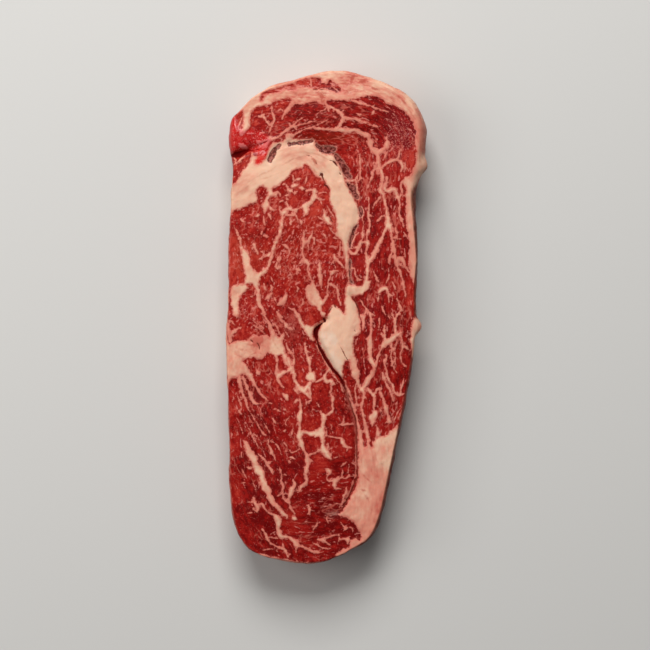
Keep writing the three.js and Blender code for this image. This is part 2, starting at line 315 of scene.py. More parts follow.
# %% Lean meat inside the fat
LEAN_BORDERS = [
    [(-14.3, 105.6), (-12, 106.5), (-9.5, 107.1), (-6, 107.2), (-2.8, 106.7), (-2.7, 105.2),
     (-3.2, 104), (-2.6, 102.8), (-5.5, 102.5), (-7.5, 103), (-11, 103.5), (-13.3, 104.2)],
    [(0.2, 105.8), (1.5, 106.2), (3.4, 105.2), (5.1, 104), (6.1, 102.4), (6.2, 100.8), (5, 100.7),
     (3.4, 101.3), (1.5, 101.7), (0, 102.6), (-3, 102.9), (-3.2, 104.2), (-1.4, 104.6),
     (0.2, 104.6)],
    [(-29.9, 97.2), (-29.6, 99.5), (-27.4, 101.4), (-25, 102.1), (-21.5, 102.8), (-18, 104),
     (-15, 104.4), (-13.6, 102.2), (-16, 101.8), (-19, 102.3), (-21, 101.1), (-24, 100.6),
     (-26.5, 100.1), (-28.4, 98.2), (-29, 96.8)],
    [(-14.8, 80.4), (-11.5, 82), (-8, 83.4), (-5.2, 83.6), (-5.2, 81.3), (-9, 80.6)],
]

# %% Wet meat
WET_BORDERS = [
    [(-47, 72.5), (-48, 92), (-41.8, 91.6), (-39.4, 84.5), (-37.4, 83.4), (-34, 83.9), (-30, 83.2),
     (-27, 81.2), (-25.2, 79), (-26, 77), (-26.4, 74.5), (-26.8, 72), (-28.5, 69.8),
     (-30.2, 68.3), (-32.4, 68.2), (-32.6, 69.8), (-31.2, 71.4), (-32, 73.4), (-34, 74.2),
     (-37, 74.6), (-41, 73.6)],
]

# %% Soft spots: x, y, reach across, reach along, strength
THIN_BLOOD = [(-30.6, 71.8, 3.8, 4.2, 1), (-43.5, 80, 1.5, 5, 1), (-42, 66, 3, 6, 1)]
PALE_SKIN_AND_GLINT = [
    # The first two spots paint a highlight, a pale glint at the wet tip of the crevice; the others
    # are pale skin.
    (3.4, -89.2, 1.7, 1.2, 1), (0.6, -89, 1.6, 0.7, 0.5), (-16, -4, 4.5, 7, 0.24),
    (8, -32.5, 1, 1.8, 0.55), (9.4, -36.5, 1, 2.2, 0.7), (10.6, -40.5, 1, 2.2, 0.7),
    (12, -45, 0.9, 2.6, 0.5), (13, -50.5, 0.8, 3.2, 0.45), (13.3, -57, 0.8, 4, 0.4),
    (13.3, -66, 0.8, 5, 0.4),
]
GLOSS = [
    (33, 83, 7, 10, 0.7), (36, 71, 4, 6, 0.4), (-31, 78, 5, 4, 0.5), (3.3, -89, 2.5, 2, 1),
    (-22, 90, 8, 5, 0.2), (5, -12, 7, 14, 0.25), (30, 98, 8, 5, 0.25),
]
# Where the hue is above 0 the lean also gets painted glints, pale specks standing in for highlights.
HUE = [  # crimson above 0, tan below
    (33, 82, 8, 12, 1), (-33, 80, 9, 6, 0.6), (20, 10, 8, 26, 0.3), (-38, 8, 6, 14, 0.4),
    (0, 80.5, 14, 3, -0.9), (0, 90, 18, 5, -0.35), (-16, 38, 16, 24, -0.4), (-34, 26, 6, 10, -0.6),
    (-40, 27, 3, 12, -0.8), (-20, -60, 18, 24, 0.15), (-26, -36, 12, 10, -0.25),
]

# %% [markdown]
# Veins are listed muscle by muscle. Most are given as one half width and then their places. The
# thicker trunks carry a half width at each point, so they can swell where branches meet.

# %% Veins: [(x, y, half width), ...] or (half width, (x, y), ...)
THIN_START = 0.5  # share of its half width that the second kind starts with
THIN_END = 0.4


def vein_path(vein):
    """The vein as points of (x, y, half width). One given as a half width and its places keeps
    that width, but thins out over its first and last steps."""
    if isinstance(vein, list):
        return vein
    half_width, *places = vein
    path = [(x, y, half_width) for x, y in places]
    (x0, y0), (x1, y1) = places[0], places[-1]
    path[0] = (x0, y0, THIN_START * half_width)
    path[-1] = (x1, y1, THIN_END * half_width)
    if len(path) == 2:
        path.insert(1, (0.5 * (x0 + x1), 0.5 * (y0 + y1), half_width))
    return path


END_MUSCLE_VEINS_AND_GLINTS = [
    # The two pale patches that open the list and the thin streaks after them are partly membrane and
    # fat, partly painted highlights; the five short dashes at y 79 to 82.5 are painted glints.
    [(-39.6, 77.8, 0.3), (-38.6, 77, 0.75), (-37.5, 76.2, 0.8), (-36, 75.9, 0.3)],
    [(-31.6, 78.6, 0.4), (-30, 77.6, 1), (-28.6, 77, 1.5), (-27.2, 77.9, 1.2), (-26, 79.6, 0.6),
     (-25.4, 81, 0.3)],
    (0.14, (-41.6, 89.5), (-41.2, 87), (-40.9, 84)),
    (0.1, (-42.6, 84), (-41.8, 81)),
    (0.35, (-38.5, 88.6), (-39.1, 87), (-39.5, 85.4)),
    (0.3, (-39.5, 83.8), (-38.4, 83.6)),
    (0.25, (-35.6, 82.1), (-33.8, 82.3)),
    (0.25, (-33, 82.3), (-31.9, 82.3)),
    (0.3, (-30.3, 82.2), (-28.5, 82.5)),
    (0.25, (-36.4, 79.7), (-35.4, 79.2)),
    (0.25, (-33.4, 79.9), (-32.6, 79.9)),
    (0.35, (-42.2, 68.2), (-40.6, 69.4), (-38.6, 70.7), (-37, 71.9)),
    (0.45, (-41.9, 71.6), (-41.4, 70.6)),
    (0.35, (-24.5, 95), (-24.8, 92.5), (-24, 90), (-23.9, 88), (-24.5, 86), (-26.3, 82)),
    (0.4, (-28.5, 90.7), (-27.7, 88.5), (-26.5, 87), (-25, 86)),
    (0.4, (-31, 90), (-29.5, 90), (-28.3, 91)),
    (0.35, (-7.2, 106.6), (-7, 105), (-7.3, 103.2)),
    (0.28, (2.6, 103.5), (3.4, 102.6), (4.6, 101.9)),
    (0.28, (1.4, 102.8), (2.2, 103.3)),
    (0.22, (1.9, 104.8), (3.2, 104)),
    [(-20, 89, 0.3), (-19, 91.3, 0.6), (-17, 94, 0.7), (-14.5, 96.8, 0.9), (-12, 98, 0.9)],
    (0.4, (-22.5, 92.5), (-21, 93.2), (-19.5, 92)),
    (0.22, (-10.7, 89.4), (-12.5, 88.2), (-15, 86.3), (-17, 84.6)),
    [(-25, 79.2, 0.45), (-22, 80.8, 0.5), (-20, 82.4, 0.5), (-18.3, 83.6, 0.6), (-16.6, 84.7, 0.55),
     (-14, 85.5, 0.35), (-11, 86.5, 0.25), (-7.5, 87.4, 0.2), (-4.6, 88, 0.12)],
    (0.2, (-4, 86.3), (-1.5, 87.3), (1, 88.8)),
    (0.28, (-3, 92), (-1, 92.8), (-0.3, 94)),
    [(-17.5, 81.5, 0.6), (-15, 81.6, 0.35), (-12.9, 82.7, 0.25), (-10, 84, 0.25),
     (-7.3, 84.7, 0.35), (-4, 84.5, 0.5), (-0.7, 84.1, 0.6), (3, 83.9, 0.65), (6, 83.8, 0.75),
     (9, 83.4, 0.9), (12, 83.5, 0.9), (14.5, 82.7, 1), (17, 81.8, 1), (18.9, 80.3, 1),
     (19.7, 78, 1.2), (19.9, 76, 1.1), (21, 74.6, 1), (22.6, 73.6, 1.2)],
    [(5, 92, 0.6), (6.5, 90.5, 0.8), (7.3, 89.3, 0.8), (6.6, 87.7, 0.6), (4.8, 84.8, 0.6)],
    [(-1.5, 97.5, 1), (0, 95, 0.6), (2.5, 93.8, 0.5), (5, 92.3, 0.8), (7, 90.6, 0.8)],
    [(7.6, 89.4, 0.8), (10, 88.7, 0.6), (12.5, 88.7, 0.55), (15, 87.8, 0.45), (18, 86.8, 0.4),
     (22.5, 85.2, 0.3)],
    [(11, 97.2, 0.5), (14, 96, 0.4), (17, 95, 0.35), (20, 94.3, 0.35), (24, 93, 0.25)],
    (0.3, (24.5, 92.8), (27.5, 91.8)),
    (0.4, (13.5, 91), (15.3, 90.8)),
    (0.4, (20.3, 91), (21, 92.5)),
]
CAP_VEINS = [
    [(22.6, 73.6, 1.2), (24.5, 74.6, 0.9), (26, 75.6, 0.8), (27.3, 77, 1), (27.3, 78.8, 0.7)],
    (0.4, (27.2, 79), (26.8, 81)),
    [(22.8, 74, 1.1), (23.2, 72, 0.8), (23.3, 70, 0.65), (23.5, 68, 0.6), (24.3, 66, 0.8),
     (25, 63.5, 0.9), (25, 61, 0.8), (24.5, 58.5, 0.6), (24.4, 56.5, 0.7), (25.2, 54.5, 0.65),
     (26, 52, 0.6), (26.7, 49, 0.65), (27.1, 46, 0.7), (27.5, 43.5, 1.1), (27.7, 41, 1.3)],
    (0.38, (27.2, 74), (26.2, 72), (25.3, 70.5)),
    [(24.8, 67, 0.6), (26.5, 68.4, 0.5), (28.5, 69.8, 0.6), (30.5, 70.4, 0.65), (32.3, 70, 0.6),
     (33.7, 68.6, 0.55), (34, 67, 0.5), (33.3, 65.7, 0.4)],
    (0.4, (30.8, 70), (31.8, 71.5), (32.5, 73), (33, 74.7)),
    (0.35, (35.2, 69), (35.3, 67), (34.8, 65.3)),
    (0.35, (21, 69.8), (21.3, 67.5), (20.7, 65), (20.4, 62.5), (19.4, 60.5), (18.4, 58.3)),
    (0.32, (22.3, 69), (22.3, 67), (23, 65), (24.2, 63.5)),
    (0.3, (15.2, 73), (15, 69.5), (14.8, 66), (14.8, 62), (14.2, 60)),
    [(27, 62.5, 0.6), (26.5, 60, 0.55), (26.2, 58, 0.6), (26.3, 56.7, 0.8), (27.8, 56.5, 0.9),
     (29.5, 57.3, 0.8), (30.8, 56.9, 0.7), (31.3, 55, 0.6), (31.9, 53.5, 0.55), (32.6, 52, 0.5),
     (32.7, 49.5, 0.4), (32.6, 47, 0.35), (33, 44.5, 0.38), (34, 42.5, 0.3), (34.6, 40.5, 0.25)],
    (0.42, (32.5, 52.6), (33.2, 54.1), (34.4, 54.4), (35.6, 53.5)),
    (0.42, (35, 61.5), (33.8, 60.5), (33.2, 58.8), (33.7, 57), (34.3, 55)),
    (0.33, (24, 53.8), (23, 52.2), (22, 51), (21.2, 49.3), (20.7, 48)),
    [(13.2, 61.5, 0.5), (13.1, 60, 0.4), (13.6, 58, 0.45), (13.8, 56, 0.45), (14.6, 54.4, 0.3)],
    [(8.3, 61, 0.4), (11, 60.9, 0.45), (13, 61.6, 0.5), (13.9, 63.3, 0.3)],
    (0.28, (15.6, 49.4), (16.4, 47.8), (16.4, 46), (15.9, 44.7)),
    [(19, 53, 0.28), (19, 50, 0.35), (18.7, 47.5, 0.28), (18.8, 45, 0.42), (19.2, 42.5, 0.5),
     (19, 40, 0.45), (18.3, 38, 0.38), (18.1, 36, 0.35), (18, 33.5, 0.5)],
    (0.33, (26.5, 44.9), (25.1, 45.3), (24, 44.3), (23.2, 43.3), (22.6, 42.4)),
    [(27.6, 42, 1.2), (26.7, 39.6, 1.1), (25.4, 37, 0.85), (24.2, 34.3, 0.75), (23.3, 32, 0.8),
     (22.3, 30, 0.85), (21.2, 28.3, 1), (20.3, 26.5, 0.9), (19.2, 25.2, 0.85), (18.5, 23.3, 0.8),
     (18.2, 21, 0.75), (18, 19, 0.8), (17.8, 16.5, 0.9)],
    [(28, 41, 1), (29, 37.5, 0.6), (29.2, 35, 0.55), (29.7, 33, 0.65), (30.2, 31, 0.55),
     (30.5, 28.5, 0.5), (30.6, 26.5, 0.5), (31.1, 25, 0.6)],
    [(29.6, 30.6, 0.35), (28.8, 28, 0.36), (28.3, 26, 0.38), (27.9, 24, 0.25)],
    [(31, 25, 0.6), (32.5, 25.8, 0.95), (33.7, 25.4, 0.9), (34.4, 23.8, 0.65), (35.2, 22, 0.55),
     (36.1, 21, 0.6), (37, 19.8, 0.5)],
    [(31.2, 24.5, 0.8), (31.8, 22.5, 0.5), (32.5, 20.5, 0.5), (33.1, 18.7, 0.4), (33.8, 16.7, 0.45),
     (34.4, 14.5, 0.45), (34.8, 12, 0.45), (35.5, 9, 0.25)],
    [(30.8, 39.2, 0.3), (31.2, 37.5, 0.38), (31.4, 36, 0.45), (31.1, 35, 0.45), (32.4, 34.7, 0.3)],
    (0.28, (34.6, 37.5), (35.5, 36), (36.4, 34.5)),
    (0.3, (35, 29), (35.2, 26.5)),
    [(16.3, 38, 0.3), (16, 36, 0.35), (15.7, 34, 0.45), (15.1, 32.5, 0.6), (14.4, 31, 0.6),
     (13.7, 29.6, 0.55), (12.4, 28.2, 0.8), (10.6, 28.4, 0.9), (9.6, 30, 0.4)],
    (0.33, (14.6, 37.4), (13.2, 36.7), (12.2, 35), (11.5, 33), (11, 31)),
    [(15.6, 32.8, 0.5), (17, 33, 0.5), (18.2, 32.8, 0.75), (17.9, 31, 0.55), (17.7, 28.5, 0.5),
     (17.8, 26, 0.6), (18.2, 23.8, 0.8)],
    (0.26, (15.9, 44.5), (16.6, 42), (16.4, 39.5)),
    (0.32, (11.2, 21.6), (12.6, 21.3), (12.8, 19), (13.4, 17.4), (14.3, 16.5), (15.3, 16.2)),
    (0.32, (21, 19.7), (21.8, 18), (22.5, 16.5), (23.2, 15.1)),
    [(23.4, 10.4, 0.5), (24.4, 12, 0.75), (25.8, 12.8, 0.8), (27, 12.2, 0.7), (27.5, 10.5, 0.5),
     (27.7, 8.5, 0.38), (27.8, 6.6, 0.25)],
    (0.28, (23.4, 10), (23.2, 8), (23, 6.3)),
    (0.32, (28, 18.5), (27.5, 16.5), (27, 15.3)),
    (0.35, (29.4, 15.2), (30.5, 13.5), (31.1, 12.2)),
    [(15.2, 7.2, 0.3), (16.5, 5, 0.35), (18, 3, 0.4), (19.3, 1.3, 0.42), (19.8, -0.5, 0.4),
     (19.9, -2.5, 0.5), (20, -5, 0.5), (19.8, -7, 0.6), (19.4, -9, 0.85), (19.3, -12, 1),
     (19.2, -14, 1.05), (19, -16, 0.85), (19.3, -18.5, 0.85), (20, -20.5, 1), (21.3, -22.4, 0.9),
     (21.2, -24, 0.75), (20.3, -25.8, 0.8), (19.2, -28, 1.1), (18, -30, 1.4), (17, -31.6, 1.2),
     (15.7, -33, 0.8)],
    [(15.3, 0, 0.5), (16.4, -0.8, 0.8), (16.8, -3, 0.7), (16.4, -5.3, 0.5)],
    (0.3, (17.8, 2.2), (17.2, 1.2), (16.3, 0.2)),
    [(33.6, -7.6, 0.5), (31.5, -8.5, 0.9), (29.8, -9.8, 1.15), (28, -11.1, 1.3), (26.5, -12, 1.5),
     (25.2, -12.9, 1.3), (24.7, -14, 0.7)],
    [(26.5, -11, 0.8), (26, -8.5, 0.5), (25.8, -7, 0.45), (26.1, -4.6, 0.3)],
    [(33, -8, 0.5), (33.4, -9.8, 0.55), (33.8, -12.5, 0.48), (34, -14.7, 0.36), (33.3, -16.8, 0.3),
     (33.5, -19.2, 0.3), (34.2, -21.3, 0.28), (35.2, -22.6, 0.2)],
    [(29.5, 1, 0.38), (30.1, -1, 0.45), (30.6, -3, 0.42), (30.7, -5, 0.45), (30.8, -7.4, 0.6)],
    [(33.6, 3, 0.4), (32.5, 1.5, 0.5), (31.5, 0.3, 0.6), (30.7, -1.5, 0.5)],
    [(31.5, 7.6, 0.28), (32.5, 5.5, 0.32), (33.3, 4, 0.45), (33.8, 2.4, 0.4)],
    [(29, -12, 0.4), (29.4, -14.7, 0.36), (28.8, -18, 0.28), (29.3, -21.3, 0.32), (30.2, -24, 0.24),
     (31.2, -25.6, 0.15)],
    (0.2, (31.4, -10.6), (31.1, -12.4), (30.6, -15.5), (30.8, -18), (30.4, -19.8), (31.1, -22.6)),
    (0.25, (26.7, -17.8), (26.7, -20), (26.3, -21.6)),
    (0.45, (35, -13), (36, -14.2), (37, -14.9)),
    [(25.7, -19.8, 0.28), (26, -22, 0.42), (26.3, -24, 0.45), (27, -26, 0.45), (27.3, -28, 0.5),
     (28.5, -29.6, 0.55), (29.5, -31, 0.55), (30, -33, 0.5), (30.9, -34.6, 0.6), (32.5, -36, 0.55),
     (33.2, -34.5, 0.45), (33.4, -32.5, 0.38), (34, -30.5, 0.32), (34.5, -28.7, 0.25)],
    [(23.9, -15.3, 0.4), (23.4, -17, 0.55), (22.8, -19, 0.45), (22.2, -21, 0.5), (21.7, -23, 0.7)],
    (0.28, (24.4, 4.5), (25.5, 2.8), (26.4, 0.8)),
    (0.26, (23.4, -1.5), (23.6, -4), (23.4, -6.5)),
    (0.26, (27.5, 0.5), (28.3, -1.2)),
    [(15.9, -33, 0.9), (16.6, -35.5, 0.5), (16.2, -38, 0.45), (15.7, -40, 0.55), (15.8, -42, 0.55),
     (16.3, -44.5, 0.55), (16.8, -47, 0.7), (17.3, -50, 0.85), (18, -53, 0.8), (18.8, -56.5, 0.8)],
    [(13.6, -29, 0.8), (14.4, -31.5, 0.6), (15.6, -33.3, 0.9)],
    [(18.4, -32.8, 0.8), (19.8, -34.5, 0.65), (20.7, -35.6, 0.9), (21.5, -35, 0.5),
     (22.5, -33, 0.65), (23.3, -32.7, 0.5), (24, -34.5, 0.5), (24.8, -36, 0.5), (25.5, -38, 0.55),
     (26.2, -40, 0.75), (26.9, -42, 0.85), (27.3, -44, 0.5), (27.7, -46, 0.9), (28.1, -47.6, 0.9)],
    [(21.2, -36, 0.6), (21.3, -38, 0.4), (21.2, -40, 0.48), (21.1, -42, 0.5), (21.5, -43.7, 1.1),
     (20.6, -45, 1.5), (20.3, -47, 1.2), (20.3, -49, 0.45)],
    [(22.2, -49.4, 0.45), (22.7, -51.5, 0.75), (23.3, -54, 0.8)],
    [(25, -26, 0.42), (25.7, -28, 0.4), (26.5, -30, 0.35), (27.5, -32, 0.4), (28.5, -34, 0.34),
     (29, -36, 0.34), (29.9, -38, 0.25)],
    (0.3, (33, -42), (31.5, -44.5), (30.5, -46.5), (29.5, -48.5)),
    (0.3, (24, -42), (24.9, -43.6)),
    [(8, -29.3, 0.25), (9.3, -33, 0.34), (10.5, -36.5, 0.4), (11.6, -40, 0.5), (12.8, -43.5, 0.6),
     (13.8, -47, 0.6), (14.5, -50.5, 0.6), (14.8, -54, 0.6)],
    (0.28, (13, -31), (12.7, -34), (13.2, -37), (14.3, -41)),
    (0.25, (12.6, -40), (13.6, -43.3)),
]
EYE_TOP_VEINS = [
    [(-21.6, 48.4, 0.3), (-21, 46.9, 0.5), (-19.9, 46.1, 1), (-18.7, 46.9, 0.8), (-17.7, 48.1, 0.9),
     (-16.5, 48.4, 0.7), (-15.3, 47.6, 0.4), (-14.2, 47.6, 0.6), (-13.2, 48, 0.35)],
    [(-20.2, 42.5, 0.6), (-20.1, 44.5, 0.75), (-19.9, 46, 0.8)],
    (0.33, (-19.3, 45), (-17.6, 45.3), (-16, 45.1), (-14.5, 45.4), (-13.6, 44.6), (-13.1, 43)),
    (0.35, (-14.2, 47.5), (-14.6, 46.3), (-14.4, 45.4)),
    [(-17.3, 49, 0.5), (-17.8, 50, 0.4), (-18.2, 51.4, 0.2)],
    (0.42, (-18.3, 52.6), (-17.4, 52.6)),
    (0.5, (-18.6, 54.2), (-17.5, 54.5)),
    [(-17.6, 58.2, 0.2), (-17.6, 56.9, 0.35), (-16.9, 56.4, 0.7), (-16.2, 56.3, 0.4)],
    (0.95, (-15.6, 58.4), (-14.6, 58.7), (-13.4, 59)),
    (0.6, (-14.6, 55.8), (-13.8, 56)),
    (0.7, (-15.3, 63), (-15.2, 61.9), (-15, 60.9)),
    (0.85, (-14, 61.4), (-13.1, 61.5), (-12.3, 61.9)),
    (0.8, (-12, 57.5), (-11.3, 57.3), (-10.5, 57.1)),
    (0.35, (-9.5, 62.4), (-9.6, 61.2), (-10.1, 60)),
    (0.33, (-20, 59.2), (-19.2, 59.5), (-18.4, 59.2), (-18.2, 58.5)),
    (0.35, (-21, 51.8), (-20.2, 52.1), (-19.4, 51.8)),
    (0.35, (-21.5, 49.5), (-20.6, 49.1)),
    [(-26, 49.3, 0.5), (-24.9, 48.5, 0.6), (-23.8, 47.9, 0.3)],
    (0.35, (-28.4, 44.6), (-28.3, 42.8), (-28.1, 41.3)),
    (0.35, (-11.9, 43.4), (-11.5, 42.2), (-11.4, 41.4)),
    (0.3, (-16.6, 43.9), (-16.3, 42.2), (-16.6, 41.2)),
    [(-12.2, 48.8, 0.35), (-11, 49.3, 0.75), (-9.8, 50, 1.1), (-8.4, 50.9, 0.95), (-7.2, 52, 0.9),
     (-6, 53.2, 1.1), (-5.7, 54.6, 1), (-5.7, 56.2, 1.15), (-6.8, 56.8, 0.6), (-9.2, 56.4, 0.25)],
    [(-9.7, 49.8, 1.3), (-9.3, 48.3, 1.35), (-9.3, 47, 1.1), (-9.9, 46, 0.4), (-10.4, 45.1, 0.3)],
    [(-5, 53.5, 0.8), (-3.4, 52.8, 0.5), (-2.7, 51.8, 0.35), (-2.2, 50.8, 0.2)],
    (0.2, (-3.4, 55.2), (-1.8, 55.7), (-0.2, 55.3)),
    [(-1.9, 48.1, 0.25), (-1, 46.7, 0.45), (-1, 45.2, 0.8), (-0.7, 44, 1.2), (-0.1, 42.9, 1.35),
     (0.8, 42, 0.8), (1.7, 41.4, 0.4)],
    (0.3, (0.2, 48), (-0.4, 47.2), (-0.9, 46.3)),
    (0.33, (-3.9, 44.5), (-2.9, 44), (-1.6, 43.6)),
    (0.25, (0.1, 49.6), (0.9, 48), (2.1, 46.4), (3.3, 44.6)),
    (0.25, (0.8, 40), (2.5, 38.2), (3.8, 37)),
    (0.38, (2.4, 35.5), (4.4, 35)),
    (0.3, (5.7, 33.5), (6.1, 31), (5.8, 28.5), (5.8, 26.8), (7.2, 26)),
    (0.5, (-1.6, 37), (-0.9, 36.2)),
    [(-10.5, 38.4, 0.35), (-10.5, 36.5, 0.5), (-10.8, 34.5, 0.65), (-10.5, 33.2, 0.8),
     (-10.9, 31, 0.4), (-11, 29, 0.35), (-11, 27.2, 0.4), (-10.4, 25.6, 0.75), (-9, 24.4, 0.8),
     (-8.3, 23.3, 0.6), (-8.7, 22, 0.35), (-8.5, 20, 0.32), (-7.8, 18, 0.4), (-6.8, 15.6, 0.6)],
    [(-10, 33.2, 0.6), (-8.4, 34, 0.5), (-7.5, 35.3, 0.5), (-6, 35.3, 0.4), (-5.5, 34, 0.35),
     (-5.7, 32.7, 0.28)],
    (0.26, (-8.3, 34), (-8.3, 31.5), (-8, 30)),
    (0.45, (-12.7, 23.4), (-11.9, 24.3), (-10.8, 25)),
    [(-24, 55.5, 0.35), (-22.4, 55.8, 0.5), (-21.4, 54.6, 0.4)],
    (0.75, (-13.8, 21), (-12.8, 20.6)),
    (0.3, (-13.8, 20.5), (-13.6, 18.9)),
    [(-19.5, 32.1, 0.5), (-18.5, 31.5, 0.7), (-17.6, 30.6, 0.6), (-16.9, 29.6, 0.3)],
    [(-32.9, 32.6, 0.4), (-32.5, 31, 0.5), (-32, 29.5, 0.55), (-31.4, 28.5, 0.4)],
    (0.42, (-29.6, 37), (-29.3, 37.9)),
    (0.42, (-28.4, 35.9), (-27, 36)),
    (0.45, (-26.2, 46), (-25.6, 45), (-25.2, 43.7)),
    (0.5, (-31.8, 45), (-30.5, 45.3)),
    (0.28, (-39.2, 43.9), (-38.3, 42.8), (-37, 42.2)),
    (0.36, (-21.9, 26.3), (-22.5, 24), (-22.8, 22), (-22.5, 20.4)),
    (0.42, (-20.9, 26.5), (-21.3, 24.2)),
    (0.32, (-21.2, 23), (-21, 21.4)),
    [(-30.4, 25.9, 0.4), (-29.2, 26.3, 0.5), (-28.6, 28, 0.32), (-28.3, 29.4, 0.22)],
    [(-29, 26.4, 0.4), (-27.2, 27, 0.45), (-25.6, 28.3, 0.6)],
    (0.42, (-28.3, 14.4), (-28.1, 12.8), (-27.4, 11.6)),
    (0.45, (-25.2, 13.7), (-24.9, 12.8), (-25.4, 11.6)),
    (0.45, (-25.1, 17.1), (-24.6, 15.9)),
    (0.32, (-17.1, 19.6), (-16.1, 18.3), (-15.6, 16.9)),
    (0.42, (-13.4, 13), (-12.8, 12.3), (-13.6, 11.3)),
]
